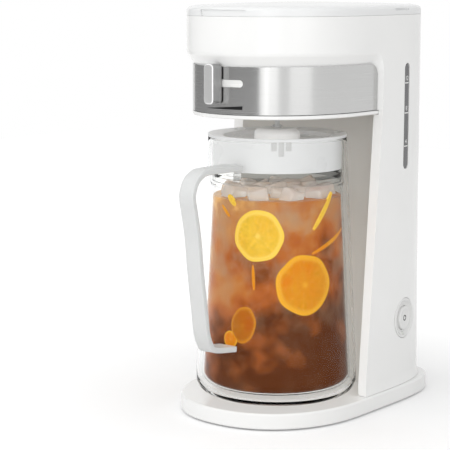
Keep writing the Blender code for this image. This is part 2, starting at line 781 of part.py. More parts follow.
def make_front_panel():
    bm = bmesh.new()
    rows = []
    for z in tower_levels():
        centre, radius = panel_arc(z)
        x, y = strip_edge(z)
        reach = math.atan2(x, y - centre) + PANEL_THICKNESS / radius
        row = []
        for i in range(PANEL_COLUMNS + 1):
            turn = between(-reach, reach, i / PANEL_COLUMNS)
            row.append(bm.verts.new((radius * math.sin(turn), centre + radius * math.cos(turn), z)))
        rows.append(row)
    for upper, lower in zip(rows, rows[1:]):
        for a, b, c, d in zip(upper, upper[1:], lower[1:], lower):
            bm.faces.new((a, b, c, d))
    bmesh.ops.recalc_face_normals(bm, faces=bm.faces)
    if sum(face.normal.y for face in bm.faces) > 0:
        bmesh.ops.reverse_faces(bm, faces=bm.faces)
    obj = mesh_object("column_front_panel", bm, GREY)
    shell = obj.modifiers.new("Wall", "SOLIDIFY")
    shell.thickness = PANEL_THICKNESS
    shell.offset = -1
    shell.use_even_offset = True
    trim_foot(obj)
    # Its sides stop just short of the white strips
    sides = bmesh.new()
    for side in (-1, 1):
        rings = []
        for z in tower_levels():
            near, far = side * (strip_edge(z)[0] - CLEARANCE), side * HEAD_HALF_WIDTH
            rings.append([(near, 0, z), (near, PANEL_DEPTH_Y, z), (far, PANEL_DEPTH_Y, z), (far, 0, z)])
        rings[0] = [(x, y, z + OVERRUN) for x, y, z in rings[0]]
        rings[-1] = [(x, y, z - OVERRUN) for x, y, z in rings[-1]]
        add_rings(sides, rings)
    cut(obj, cutter_object("panel_sides", sides))
    return obj


def make_head_floor():
    edge = BAND_INSET - CLEARANCE
    top = FLOOR_BOTTOM + FLOOR_THICKNESS
    levels = ((FLOOR_BOTTOM, FLOOR_LIP_ROUND), (FLOOR_BOTTOM + FLOOR_LIP_ROUND, 0.0), (top, 0.0))
    bm = loft([plan_ring(shrink(HEAD_PLAN, edge + more), z) for z, more in levels])
    obj = mesh_object("head_floor", bm, PALE)

    # Behind the hollow panel's line the floor makes way for the tank
    top_level = tower_levels()[0]
    centre, radius = panel_arc(top_level)
    x, y = strip_edge(top_level)
    reach = math.atan2(x, y - centre)
    arc = [(radius * math.sin(a), centre + radius * math.cos(a))
           for a in (between(reach, -reach, i / PANEL_COLUMNS) for i in range(PANEL_COLUMNS + 1))]
    side, back = HEAD_HALF_WIDTH + OVERRUN, PLAN_CENTRE_Y + HEAD_REAR + OVERRUN
    bm = bmesh.new()
    prism(bm, [(-side, y), *arc[::-1], (side, y), (side, back), (-side, back)], FLOOR_BOTTOM - OVERRUN, top + OVERRUN)
    behind = cutter_object("floor_behind", bm)
    ring = turned_cutter("floor_seat_ring", tube(SEAT_RING_OUTER, SEAT_RING_OUTER - SEAT_RING_WALL,
                                                 top - FLOOR_THICKNESS / 2, BASKET_FLOOR - CLEARANCE), TURN_STEPS)
    hole = turned_cutter("floor_nozzle_hole", disc(NOZZLE_HOLE_RADIUS, FLOOR_BOTTOM - OVERRUN, top + OVERRUN))
    cut(obj, behind, hole)
    join(obj, ring)
    return obj


def band_half_surface():
    bm = bmesh.new()
    plan = shrink(HEAD_PLAN, BAND_INSET)
    top, low = CHAMFER_BOTTOM - CLEARANCE, HEAD_BOTTOM + CLEARANCE
    columns = []
    for i in range(FRONT_ANGLES + 1):
        point = plan_point(plan, math.pi / 2 * i / FRONT_ANGLES)
        columns.append([(*point, top), (*point, low)])
    corner = BAND_CORNER - CLEARANCE
    corner_y, corner_z = BAND_END_Y - BAND_CORNER, top - corner
    for i in range(CORNER_STEPS + 1):
        turn = math.pi / 2 * i / CORNER_STEPS
        y = corner_y + corner * math.sin(turn)
        x = wall_x(plan, y)
        columns.append([(x, y, corner_z + corner * math.cos(turn)), (x, y, low)])
    rows = [[bm.verts.new(p) for p in points] for points in columns]
    for left, right in zip(rows, rows[1:]):
        bm.faces.new((left[0], left[1], right[1], right[0]))
    bmesh.ops.recalc_face_normals(bm, faces=bm.faces)
    if sum(face.normal.dot(face.calc_center_median()) for face in bm.faces) < 0:
        bmesh.ops.reverse_faces(bm, faces=bm.faces)
    return bm


def make_band():
    obj = mesh_object("control_band", band_half_surface(), BRUSHED)
    mirror = obj.modifiers.new("Both sides", "MIRROR")
    mirror.merge_threshold = 0.00005
    mirror.use_clip = True
    shell = obj.modifiers.new("Sheet", "SOLIDIFY")
    shell.thickness = BAND_THICKNESS
    shell.offset = -1
    shell.use_even_offset = True
    front_y = PLAN_CENTRE_Y - HEAD_FRONT
    cut(obj, stem_slot("band_slot", SLOT_HEIGHT, SEAT_SLOT_MARGIN, front_y - OVERRUN, front_y + 5 * OVERRUN))
    return obj


# Top lid


def lid_rings():
    edge = shrink(HEAD_PLAN, LID_EDGE_INSET)
    edge_z = LID_BOTTOM + LID_EDGE_HEIGHT
    round_height = LID_EDGE_HEIGHT - LID_SIDE_HEIGHT

    def crown(share, drop, plan):
        z = between(TOTAL_HEIGHT, edge_z, share**2) - drop
        return [(x * share, LID_CROWN_Y + (y - LID_CROWN_Y) * share, z) for x, y, _ in plan_ring(plan, 0)]

    rings = [plan_ring(HEAD_PLAN, LID_BOTTOM)]
    for turn_share in (0.0, 0.34, 0.68):
        turn = math.pi / 2 * turn_share
        inset = LID_EDGE_INSET * (1 - math.cos(turn))
        rings.append(plan_ring(shrink(HEAD_PLAN, inset), LID_BOTTOM + LID_SIDE_HEIGHT + round_height * math.sin(turn)))
    rings.append(plan_ring(edge, edge_z))
    rings += [crown(share, 0.0, edge) for share in CROWN_SHARES]
    rings.append([(0, LID_CROWN_Y, TOTAL_HEIGHT)])
    inner = [plan_ring(shrink(HEAD_PLAN, LID_WALL), LID_BOTTOM),
             plan_ring(shrink(HEAD_PLAN, LID_WALL), LID_BOTTOM + LID_SIDE_HEIGHT),
             plan_ring(edge, edge_z - LID_WALL)]
    inner += [crown(share, LID_WALL, edge) for share in CROWN_SHARES]
    inner.append([(0, LID_CROWN_Y, TOTAL_HEIGHT - LID_WALL)])
    return inner[::-1] + rings


def make_lid():
    obj = mesh_object("top_lid", loft(lid_rings()), WHITE, (0, HINGE_Y, HINGE_Z))
    join(obj, *hinge_block("lid_knuckle", -LID_BARREL_HALF, LID_BARREL_HALF, 1, LID_BOTTOM + CLEARANCE,
                           LID_BOTTOM + HINGE_WEB))
    front_y = PLAN_CENTRE_Y - HEAD_FRONT
    outline = [(-RECESS_BOTTOM_HALF, LID_BOTTOM - OVERRUN), (RECESS_BOTTOM_HALF, LID_BOTTOM - OVERRUN),
               (RECESS_TOP_HALF, RECESS_TOP), (-RECESS_TOP_HALF, RECESS_TOP)]
    inner = shrink(HEAD_PLAN, RECESS_DEPTH)
    bm = bmesh.new()
    upright = Matrix.Rotation(math.pi / 2, 4, "X")
    prism(bm, outline, -front_y - 3 * OVERRUN, -front_y + OVERRUN, upright)
    recess = cutter_object("finger_recess", bm)
    bm = loft([plan_ring(inner, LID_BOTTOM - 2 * OVERRUN), plan_ring(inner, TOTAL_HEIGHT)])
    cut(recess, cutter_object("finger_recess_back", bm))
    bm = bmesh.new()
    for side in (-1, 1):
        middle = side * wall_x(inner, (VENT_FRONT_Y + VENT_REAR_Y) / 2)
        left, right = sorted((middle, side * (HEAD_HALF_WIDTH + OVERRUN)))
        box(bm, (left, VENT_FRONT_Y, RECESS_TOP - VENT_HEIGHT), (right, VENT_REAR_Y, RECESS_TOP))
    vents = cutter_object("lid_vents", bm)
    cut(obj, hinge_bore(), recess, vents)
    return obj


def make_hinge_pin():
    reach = LID_BARREL_HALF + EAR_LENGTH
    frame = Matrix.Translation((0, HINGE_Y, HINGE_Z)) @ Matrix.Rotation(math.pi / 2, 4, "Y")
    return turned("lid_hinge_pin", disc(PIN_RADIUS, -reach, reach), STEEL, SMALL_STEPS, frame)


# Base


def plan_place(plan, share_x, share_y):
    reach = plan.rear if share_y > 0 else plan.front
    return share_x * plan.half_width, plan.centre + share_y * reach


def base_places(shares, inset):
    return [plan_place(shrink(BASE_PLAN, inset), *share) for share in shares]


def make_base_cover():
    inner_top = BASE_TOP - BASE_WALL
    rings = [(BASE_WALL, inner_top), (BASE_WALL, BASE_RIM), (BASE_EDGE_ROUND / 2, BASE_RIM),
             (0.0, BASE_RIM + BASE_EDGE_ROUND), (0.0, BASE_TOP - BASE_EDGE_ROUND),
             (BASE_EDGE_ROUND * 0.3, BASE_TOP - BASE_EDGE_ROUND * 0.3), (BASE_EDGE_ROUND, BASE_TOP)]
    obj = mesh_object("base_cover", loft([plan_ring(shrink(BASE_PLAN, inset), z) for inset, z in rings]), WHITE)
    bosses, pilots = bmesh.new(), bmesh.new()
    for x, y in base_places(SCREW_PLACES_SHARES, BASE_WALL):
        frame = Matrix.Translation((x, y, 0))
        bar(bosses, BOSS_RADIUS, PLATE_BOTTOM + PLATE_THICKNESS + CLEARANCE, inner_top + BASE_WALL / 2, frame, PIPE_SIDES)
        bar(pilots, SCREW_RADIUS + CLEARANCE, BASE_RIM, PLATE_BOTTOM + SCREW_LENGTH, frame, PIPE_SIDES)
    join(obj, cutter_object("base_bosses", bosses))
    cut(obj, cutter_object("screw_pilots", pilots))
    return obj


def make_base_plate():
    plan = shrink(BASE_PLAN, BASE_WALL + CLEARANCE)
    obj = mesh_object("base_plate", loft([plan_ring(plan, PLATE_BOTTOM), plan_ring(plan, PLATE_BOTTOM + PLATE_THICKNESS)]), BLACK)
    holes = bmesh.new()
    for x, y in base_places(SCREW_PLACES_SHARES, BASE_WALL):
        bar(holes, SCREW_RADIUS + 2 * CLEARANCE, PLATE_BOTTOM - OVERRUN, PLATE_BOTTOM + PLATE_THICKNESS + OVERRUN,
            Matrix.Translation((x, y, 0)), PIPE_SIDES)
    cut(obj, cutter_object("plate_holes", holes))
    return obj


def make_feet_and_screws():
    for number, (x, y) in enumerate(base_places(FOOT_PLACES_SHARES, BASE_WALL), 1):
        turned(f"rubber_foot_{number}", disc(FOOT_RADIUS, 0, PLATE_BOTTOM - CLEARANCE), RUBBER, SMALL_STEPS,
               Matrix.Translation((x, y, 0)))
    head_top = PLATE_BOTTOM - CLEARANCE
    for number, (x, y) in enumerate(base_places(SCREW_PLACES_SHARES, BASE_WALL), 1):
        turned(f"base_screw_{number}", [
            (0, PLATE_BOTTOM + SCREW_LENGTH - 2 * CLEARANCE), (SCREW_RADIUS, PLATE_BOTTOM + SCREW_LENGTH - 2 * CLEARANCE),
            (SCREW_RADIUS, head_top), (SCREW_HEAD_RADIUS, head_top), (SCREW_HEAD_RADIUS, head_top - SCREW_HEAD_HEIGHT),
            (0, head_top - SCREW_HEAD_HEIGHT),
        ], STEEL, PIPE_SIDES, Matrix.Translation((x, y, 0)))


# Window, button and gland


def make_window():
    frame = wall_frame(WINDOW_Y, WINDOW_CENTRE_Z)
    bm = bmesh.new()
    back = -WALL - 2 * CLEARANCE
    prism(bm, stadium(WINDOW_LENGTH, WINDOW_WIDTH), back - WINDOW_FLANGE_THICKNESS / 2, -WINDOW_SINK)
    lens = mesh_object("water_window", bm, SMOKE)
    lens.matrix_local = frame
    bm = bmesh.new()
    prism(bm, stadium(WINDOW_LENGTH + 2 * WINDOW_FLANGE, WINDOW_WIDTH + 2 * WINDOW_FLANGE),
          back - WINDOW_FLANGE_THICKNESS, back, frame)
    join(lens, cutter_object("window_flange", bm))
    return lens


def make_button():
    frame = wall_frame(BUTTON_Y, BUTTON_Z)
    bore = BUTTON_RADIUS + CLEARANCE
    tube_outer = bore + BEZEL_TUBE_WALL
    bezel = turned("button_bezel", [
        (BEZEL_RADIUS - BEZEL_TUBE_WALL, CLEARANCE), (BEZEL_RADIUS, 0), (BEZEL_RADIUS, -BEZEL_DISH),
        (tube_outer, -BEZEL_DISH - BEZEL_TUBE_WALL), (tube_outer, -BEZEL_TUBE_LENGTH), (bore, -BEZEL_TUBE_LENGTH),
        (bore, -BEZEL_DISH + BEZEL_TUBE_WALL / 2), (tube_outer, -BEZEL_DISH + BEZEL_TUBE_WALL / 2),
    ], WHITE, TURN_STEPS, frame)
    light_frame = frame @ Matrix.Translation((0, -LIGHT_OFFSET, 0))
    cut(bezel, turned_cutter("light_hole", disc(LIGHT_RADIUS + CLEARANCE, -BEZEL_TUBE_LENGTH, OVERRUN), SMALL_STEPS, light_frame))

    top = BUTTON_PROUD
    floor = -BEZEL_DISH - BEZEL_TUBE_WALL
    turned("power_button", [
        (0, top - CLEARANCE), (BUTTON_RADIUS * 0.72, top - CLEARANCE), (BUTTON_RADIUS * 0.80, top), (BUTTON_RADIUS * 0.94, top),
        (BUTTON_RADIUS, top - 2 * CLEARANCE), (BUTTON_RADIUS, floor), (BUTTON_STEM_RADIUS, floor),
        (BUTTON_STEM_RADIUS, -BEZEL_TUBE_LENGTH), (0, -BEZEL_TUBE_LENGTH),
    ], WHITE, TURN_STEPS, frame)
    turned("power_light", disc(LIGHT_RADIUS, -BEZEL_TUBE_LENGTH * 0.5, -BEZEL_DISH * 0.35), LAMP, SMALL_STEPS, light_frame)

    near = -BEZEL_TUBE_LENGTH - CLEARANCE
    bm = bmesh.new()
    box(bm, (-SWITCH_WIDTH / 2, -SWITCH_HEIGHT / 2, near - SWITCH_DEPTH), (SWITCH_WIDTH / 2, SWITCH_HEIGHT / 2, near))
    switch = mesh_object("switch_housing", bm, BLACK)
    switch.matrix_local = frame
    cut(switch, turned_cutter("switch_hole", disc(BUTTON_STEM_RADIUS + 2 * CLEARANCE, near - BUTTON_TRAVEL * 2, near + OVERRUN),
                              SMALL_STEPS, frame))


def gland_frame():
    """On the outside of the rear wall: local Z points out of it, local Y up."""
    plan = tower_plan(GLAND_Z)

    def rear_y(x):
        return plan.centre + plan.rear * (1 - (x / plan.half_width) ** plan.rear_power) ** (1 / plan.rear_power)

    across = Vector((-2 * WALL, rear_y(GLAND_X - WALL) - rear_y(GLAND_X + WALL), 0)).normalized()
    out = across.cross(Vector((0, 0, 1)))
    frame = Matrix((across, (0, 0, 1), out)).transposed().to_4x4()
    frame.translation = (GLAND_X, rear_y(GLAND_X), GLAND_Z)
    return frame


def make_gland():
    neck_back, neck_front = -WALL - GLAND_SLACK, GLAND_SLACK
    frame = gland_frame()
    return turned("cord_gland", [
        (GLAND_FLANGE_RADIUS, neck_front + GLAND_FLANGE), (GLAND_FLANGE_RADIUS, neck_front),
        (GLAND_NECK_RADIUS, neck_front), (GLAND_NECK_RADIUS, neck_back), (GLAND_FLANGE_RADIUS, neck_back),
        (GLAND_FLANGE_RADIUS, neck_back - GLAND_FLANGE), (GLAND_BORE, neck_back - GLAND_FLANGE),
        (GLAND_BORE, neck_front + GLAND_FLANGE),
    ], BLACK, SMALL_STEPS, frame)


# Strength knob


def front_arc(inset):
    """Centre and radius of the circle that follows the front of the head between the slot's ends."""
    plan = shrink(HEAD_PLAN, inset)
    half = (SLOT_RIGHT - SLOT_LEFT) / 2
    across = math.asin((half / plan.half_width) ** (plan.front_power / 2))
    x, y = plan_point(plan, across)
    front = plan.centre - plan.front
    radius = (x**2 + (y - front) ** 2) / (2 * (y - front))
    return front + radius, radius


def knob_frame():
    """At the arc's centre, turned to the knob's place: local -Y points out through the slot."""
    centre, _ = front_arc(BAND_INSET)
    return Matrix.Translation((0, centre, 0)) @ Matrix.Rotation(KNOB_ANGLE, 4, "Z")


def make_knob():
    frame = knob_frame()
    _, radius = front_arc(BAND_INSET)
    back = -(radius + KNOB_GAP)
    bm = bmesh.new()
    box(bm, (-KNOB_WIDTH / 2, back - KNOB_DEPTH, KNOB_BOTTOM), (KNOB_WIDTH / 2, back, KNOB_BOTTOM + KNOB_HEIGHT))
    knob = mesh_object("strength_knob", bm, SATIN)
    knob.matrix_local = frame
    rounded(knob, KNOB_ROUND)
    half = Vector((STEM_WIDTH / 2, 0, STEM_HEIGHT / 2))
    gap = Vector((CLEARANCE, 0, CLEARANCE))
    bm = bmesh.new()
    box(bm, Vector((0, back - KNOB_SOCKET, SLOT_CENTRE_Z)) - half - gap, Vector((0, back + OVERRUN, SLOT_CENTRE_Z)) + half + gap, frame)
    cut(knob, cutter_object("knob_socket", bm))

    wall = radius - (SEAT_INSET - BAND_INSET) - WALL
    inner = wall - SLIDER_WALL_GAP
    bm = bmesh.new()
    box(bm, (-SLIDER_WIDTH / 2, -inner, SLOT_CENTRE_Z - SLIDER_HEIGHT / 2),
        (SLIDER_WIDTH / 2, -inner + SLIDER_THICKNESS, SLOT_CENTRE_Z + SLIDER_HEIGHT / 2))
    slider = mesh_object("strength_slider", bm, PALE)
    slider.matrix_local = frame
    bm = bmesh.new()
    box(bm, Vector((0, back - KNOB_SOCKET + CLEARANCE, SLOT_CENTRE_Z)) - half,
        Vector((0, -inner + SLIDER_THICKNESS / 2, SLOT_CENTRE_Z)) + half, frame)
    join(slider, cutter_object("slider_stem", bm))
    return wall, inner


def make_slider_guide(wall, inner):
    """A curved frame behind the slot that the slider runs in."""
    centre, _ = front_arc(BAND_INSET)
    outer = inner - SLIDER_THICKNESS - 3 * CLEARANCE
    sheet = outer - GUIDE_THICKNESS

    def band(radius_out, radius_in, low, high):
        rings = []
        for i in range(GUIDE_STEPS + 1):
            turn = between(-GUIDE_HALF_ANGLE, GUIDE_HALF_ANGLE, i / GUIDE_STEPS)
            direction = Vector((math.sin(turn), -math.cos(turn), 0))
            origin = Vector((0, centre, 0))
            rings.append([origin + direction * r + Vector((0, 0, z)) for r, z in
                          ((radius_out, low), (radius_out, high), (radius_in, high), (radius_in, low))])
        return loft(rings)

    low, high = SLOT_CENTRE_Z - GUIDE_HEIGHT / 2, SLOT_CENTRE_Z + GUIDE_HEIGHT / 2
    guide = mesh_object("slider_guide", band(outer, sheet, low, high), PALE)
    rail_face, middle = wall - GUIDE_WALL_GAP, sheet + GUIDE_THICKNESS / 2
    join(guide, cutter_object("guide_rail_top", band(rail_face, middle, high - GUIDE_RAIL, high)),
         cutter_object("guide_rail_low", band(rail_face, middle, low, low + GUIDE_RAIL)))
    return guide


# Water tank and boiler


def tank_ring(z, inset):
    """Plan of the tank: hollow front, the tower's sides and rear, and a straight left end beside the riser."""
    centre, radius = panel_arc(tower_levels()[0])
    arc_radius = radius + PANEL_THICKNESS + TANK_FRONT_GAP + inset
    plan = shrink(HEAD_PLAN, WALL + TANK_SIDE_GAP + inset)
    left = -TANK_LEFT + inset
    right = wall_x(plan, EDGE_TOP_Y + WALL) - TANK_FRONT_GAP
    start, end = math.asin(left / arc_radius), math.asin(right / arc_radius)
    ring = [(arc_radius * math.sin(a), centre + arc_radius * math.cos(a), z)
            for a in (between(start, end, i / TANK_ARC_STEPS) for i in range(TANK_ARC_STEPS + 1))]
    first = angle_at(plan, ring[-1][1] + TANK_FRONT_GAP)
    last = math.pi + math.asin((-left / plan.half_width) ** (plan.rear_power / 2))
    steps = 2 * REAR_ANGLES
    ring += [(*plan_point(plan, between(first, last, i / steps)), z) for i in range(steps + 1)]
    return ring


def make_tank():
    rings = [tank_ring(TANK_TOP, TANK_WALL), tank_ring(TANK_BOTTOM + TANK_WALL, TANK_WALL)]
    outer = [tank_ring(TANK_BOTTOM, 0.0), tank_ring(TANK_TOP, 0.0)]
    bm = bmesh.new()
    add_rings(bm, [rings[1], rings[0], outer[1], outer[0]])
    bmesh.ops.recalc_face_normals(bm, faces=bm.faces)
    tank = mesh_object("water_tank", bm, SMOKE)
    plan = shrink(HEAD_PLAN, WALL + TANK_SIDE_GAP + TANK_LEG_INSET)
    legs = bmesh.new()
    for share in TANK_LEG_SHARES:
        for x in (TANK_LEG_INSET - TANK_LEFT, TANK_LEFT):
            bar(legs, TANK_LEG_RADIUS, BASE_TOP + CLEARANCE, TANK_BOTTOM + TANK_WALL / 2,
                Matrix.Translation((x, plan.centre + plan.rear * share, 0)), PIPE_SIDES)
    join(tank, cutter_object("tank_legs", legs))
    outlet = bmesh.new()
    bar(outlet, TANK_OUTLET_RADIUS, TANK_BOTTOM - OVERRUN, TANK_BOTTOM + TANK_WALL + OVERRUN,
        Matrix.Translation((OUTLET_X, OUTLET_Y, 0)))
    cut(tank, cutter_object("tank_outlet", outlet))
    return tank


def heater_route(z):
    """A U that opens to the rear."""
    bend = arc_points((0, HEATER_FRONT_Y), HEATER_HALF_SPAN, math.pi, math.tau, HEATER_STEPS)
    return [(-HEATER_HALF_SPAN, HEATER_REAR_Y, z), *[(x, y, z) for x, y in bend], (HEATER_HALF_SPAN, HEATER_REAR_Y, z)]


def make_boiler():
    curve = bpy.data.curves.new("heater", "CURVE")
    curve.dimensions = "3D"
    spline = curve.splines.new("POLY")
    route = heater_route(HEATER_Z)
    spline.points.add(len(route) - 1)
    for point, place_at in zip(spline.points, route):
        point.co = (*place_at, 1.0)
    curve.bevel_depth = HEATER_RADIUS
    curve.bevel_resolution = 2
    curve.use_fill_caps = True
    curve.materials.append(CAST)
    place(bpy.data.objects.new("heater", curve), PARTS)

    pipe_z = HEATER_Z + HEATER_RADIUS + PIPE_RADIUS + CLEARANCE
    flat = heater_route(pipe_z)
    ends = []
    for first, second in (flat[:2], flat[:-3:-1]):
        ends.append(round_corners([(first[0], first[1], pipe_z + PIPE_RISE), first, second], PIPE_RADIUS * 2)[:-1])
    path = ends[0] + flat[1:-1] + ends[1][::-1]
    mesh_object("heater_water_pipe", pipe(path, PIPE_RADIUS, PIPE_RADIUS - PIPE_WALL), STEEL)

    for side, name in ((-1, "heater_saddle_left"), (1, "heater_saddle_right")):
        x, y = side * HEATER_HALF_SPAN, (HEATER_REAR_Y + HEATER_FRONT_Y) / 2
        bm = bmesh.new()
        box(bm, (x - SADDLE_WIDTH / 2, y - SADDLE_LENGTH / 2, BASE_TOP + CLEARANCE),
            (x + SADDLE_WIDTH / 2, y + SADDLE_LENGTH / 2, HEATER_Z - HEATER_RADIUS / 2))
        saddle = mesh_object(name, bm, BLACK)
        bm = bmesh.new()
        frame = Matrix.Translation((x, HEATER_FRONT_Y, HEATER_Z)) @ Matrix.Rotation(-math.pi / 2, 4, "X")
        bar(bm, HEATER_RADIUS + CLEARANCE * 2, -OVERRUN, HEATER_REAR_Y - HEATER_FRONT_Y + OVERRUN, frame)
        cut(saddle, cutter_object(name + "_groove", bm))


def make_thermostat():
    low = HEATER_Z - HEATER_RADIUS - CLEARANCE
    frame = Matrix.Translation((0, HEATER_FRONT_Y - HEATER_HALF_SPAN, low))
    turned("thermostat", [
        (0, 0), (THERMOSTAT_RADIUS * 0.6, 0), (THERMOSTAT_RADIUS * 0.6, -THERMOSTAT_HEIGHT * 0.3),
        (THERMOSTAT_RADIUS, -THERMOSTAT_HEIGHT * 0.3), (THERMOSTAT_RADIUS, -THERMOSTAT_HEIGHT), (0, -THERMOSTAT_HEIGHT),
    ], BLACK, SMALL_STEPS, frame)


def make_plumbing():
    valve_top = TANK_BOTTOM - CLEARANCE
    valve_low = valve_top - VALVE_BODY_LENGTH
    barb = PIPE_RADIUS
    bore = PIPE_RADIUS - PIPE_WALL
    turned("check_valve", [
        (VALVE_BODY_RADIUS, valve_top), (VALVE_BODY_RADIUS, between(valve_top, valve_low, 0.55)),
        (barb, between(valve_top, valve_low, 0.62)), (barb, valve_low), (bore, valve_low), (bore, valve_top),
    ], PALE, SMALL_STEPS, Matrix.Translation((OUTLET_X, OUTLET_Y, 0)))

    pipe_top = HEATER_Z + HEATER_RADIUS + PIPE_RADIUS + CLEARANCE + PIPE_RISE + CLEARANCE
    hose_top = valve_low - CLEARANCE
    straight = (hose_top - pipe_top) / 4
    route = [(HEATER_HALF_SPAN, HEATER_REAR_Y, pipe_top), (HEATER_HALF_SPAN, HEATER_REAR_Y, pipe_top + straight),
             (OUTLET_X, OUTLET_Y, hose_top - straight), (OUTLET_X, OUTLET_Y, hose_top)]
    mesh_object("inlet_hose", pipe(round_corners(route, straight), HOSE_RADIUS, HOSE_RADIUS - HOSE_WALL), SILICONE)

    level = pipe_top + straight * 1.5
    route = [(-HEATER_HALF_SPAN, HEATER_REAR_Y, pipe_top), (-HEATER_HALF_SPAN, HEATER_REAR_Y, level),
             (RISER_X, RISER_Y, level), (RISER_X, RISER_Y, RISER_TOP - SPRAY_DROP)]
    mesh_object("riser_tube", pipe(round_corners(route, straight * 1.2), HOSE_RADIUS, HOSE_RADIUS - HOSE_WALL), SILICONE)

    arm_low = RISER_TOP - SPRAY_DROP + CLEARANCE
    route = [(RISER_X, RISER_Y, arm_low), (RISER_X, RISER_Y, RISER_TOP), (SPRAY_X, SPRAY_Y, RISER_TOP),
             (SPRAY_X, SPRAY_Y, arm_low)]
    arm = mesh_object("spray_arm", pipe(round_corners(route, SPRAY_DROP * 0.8), PIPE_RADIUS, PIPE_RADIUS - PIPE_WALL), PALE)
    return arm


# Brewing pieces


def make_basket():
    floor = BASKET_FLOOR
    nozzle_in = NOZZLE_RADIUS - NOZZLE_WALL
    seat_in = VALVE_STEM_RADIUS + 2 * NOZZLE_FLOOR / 3
    turned("brew_basket", [
        (BASKET_RIM_RADIUS, BASKET_TOP), (BASKET_RIM_RADIUS, BASKET_TOP - BASKET_WALL), (BASKET_TOP_RADIUS, BASKET_TOP - BASKET_WALL),
        (BASKET_FLOOR_RADIUS, floor), (NOZZLE_RADIUS, floor), (NOZZLE_RADIUS, NOZZLE_BOTTOM), (seat_in, NOZZLE_BOTTOM),
        (seat_in, NOZZLE_BOTTOM + NOZZLE_FLOOR), (nozzle_in, NOZZLE_BOTTOM + NOZZLE_FLOOR), (nozzle_in, floor + BASKET_WALL),
        (BASKET_FLOOR_RADIUS - BASKET_WALL, floor + BASKET_WALL), (BASKET_TOP_RADIUS - BASKET_WALL, BASKET_TOP),
    ], PALE)


def make_filter():
    top = BASKET_TOP + CLEARANCE + FILTER_WALL
    low = top - FILTER_DEPTH
    slope = (BASKET_TOP_RADIUS - BASKET_FLOOR_RADIUS) / (BASKET_TOP - BASKET_WALL - BASKET_FLOOR)
    upper = BASKET_TOP_RADIUS - BASKET_WALL - FILTER_GAP
    lower = upper - slope * FILTER_DEPTH
    turned("brew_filter", [
        (0, low + FILTER_WALL), (lower - FILTER_WALL, low + FILTER_WALL), (upper - FILTER_WALL, top), (BASKET_RIM_RADIUS, top),
        (BASKET_RIM_RADIUS, top - FILTER_WALL), (upper, top - FILTER_WALL), (lower, low), (0, low),
    ], MESH)


def make_drip_valve():
    pad_low = CAP_TOP + VALVE_PAD_GAP
    disc_low = NOZZLE_BOTTOM + NOZZLE_FLOOR + VALVE_TRAVEL + CLEARANCE
    disc_top = disc_low + VALVE_DISC_HEIGHT
    spring_low = disc_top + SPRING_WIRE + CLEARANCE
    spring_top = spring_low + SPRING_HEIGHT
    retainer_low = spring_top + SPRING_WIRE + CLEARANCE
    turned("drip_valve", [
        (0, retainer_low + RETAINER_THICKNESS), (VALVE_SPIKE_RADIUS, retainer_low + RETAINER_THICKNESS),
        (VALVE_SPIKE_RADIUS, disc_top), (VALVE_DISC_RADIUS, disc_top), (VALVE_DISC_RADIUS, disc_low),
        (VALVE_STEM_RADIUS, disc_low), (VALVE_STEM_RADIUS, pad_low + VALVE_PAD_HEIGHT),
        (VALVE_PAD_RADIUS, pad_low + VALVE_PAD_HEIGHT), (VALVE_PAD_RADIUS, pad_low), (0, pad_low),
    ], GREY, SMALL_STEPS)

    curve = bpy.data.curves.new("drip_valve_spring", "CURVE")
    curve.dimensions = "3D"
    spline = curve.splines.new("POLY")
    count = SPRING_TURNS * SPRING_TURN_POINTS
    spline.points.add(count)
    for i, point in enumerate(spline.points):
        turn = math.tau * i / SPRING_TURN_POINTS
        point.co = (SPRING_RADIUS * math.cos(turn), SPRING_RADIUS * math.sin(turn), between(spring_low, spring_top, i / count), 1.0)
    curve.bevel_depth = SPRING_WIRE
    curve.bevel_resolution = 2
    curve.use_fill_caps = True
    curve.materials.append(STEEL)
    place(bpy.data.objects.new("drip_valve_spring", curve), PARTS)

    edge = NOZZLE_RADIUS - NOZZLE_WALL - CLEARANCE
    retainer = turned("spring_retainer", tube(edge, VALVE_SPIKE_RADIUS + CLEARANCE, retainer_low, retainer_low + RETAINER_THICKNESS),
                      PALE, SMALL_STEPS)
    holes = bmesh.new()
    for i in range(RETAINER_HOLES):
        turn = math.tau * i / RETAINER_HOLES
        radius = (edge + VALVE_SPIKE_RADIUS) / 2
        bar(holes, RETAINER_HOLE / 1.2, retainer_low - OVERRUN, retainer_low + RETAINER_THICKNESS + OVERRUN,
            Matrix.Translation((radius * math.cos(turn), radius * math.sin(turn), 0)), PIPE_SIDES)
    cut(retainer, cutter_object("retainer_holes", holes))


# Pitcher


def spout_push(angle, z):
    """How far the rim is drawn out towards +Y to make the spout."""
    turn = abs(math.remainder(angle - math.pi / 2, math.tau)) / SPOUT_HALF_ANGLE
    if turn >= 1:
        return 0.0
    rise = min(1.0, max(0.0, (z - (PITCHER_TOP - SPOUT_DROP)) / SPOUT_DROP))
    return SPOUT_REACH * rise**2 * math.cos(turn * math.pi / 2) ** 2


def spouted(profile):
    """Turns a profile that starts and ends on the axis, and draws out the spout."""
    rings = []
    for radius, z in profile:
        if radius == 0:
            rings.append([(0, 0, z)])
            continue
        ring = []
        for k in range(TURN_STEPS):
            angle = math.tau * k / TURN_STEPS
            reach = radius + spout_push(angle, z)
            ring.append((reach * math.cos(angle), reach * math.sin(angle), z))
        rings.append(ring)
    return loft(rings)


def outer_radius(z):
    return between(PITCHER_FOOT_RADIUS, PITCHER_TOP_RADIUS, (z - PITCHER_FOOT_Z) / (PITCHER_TOP - PITCHER_FOOT_Z))


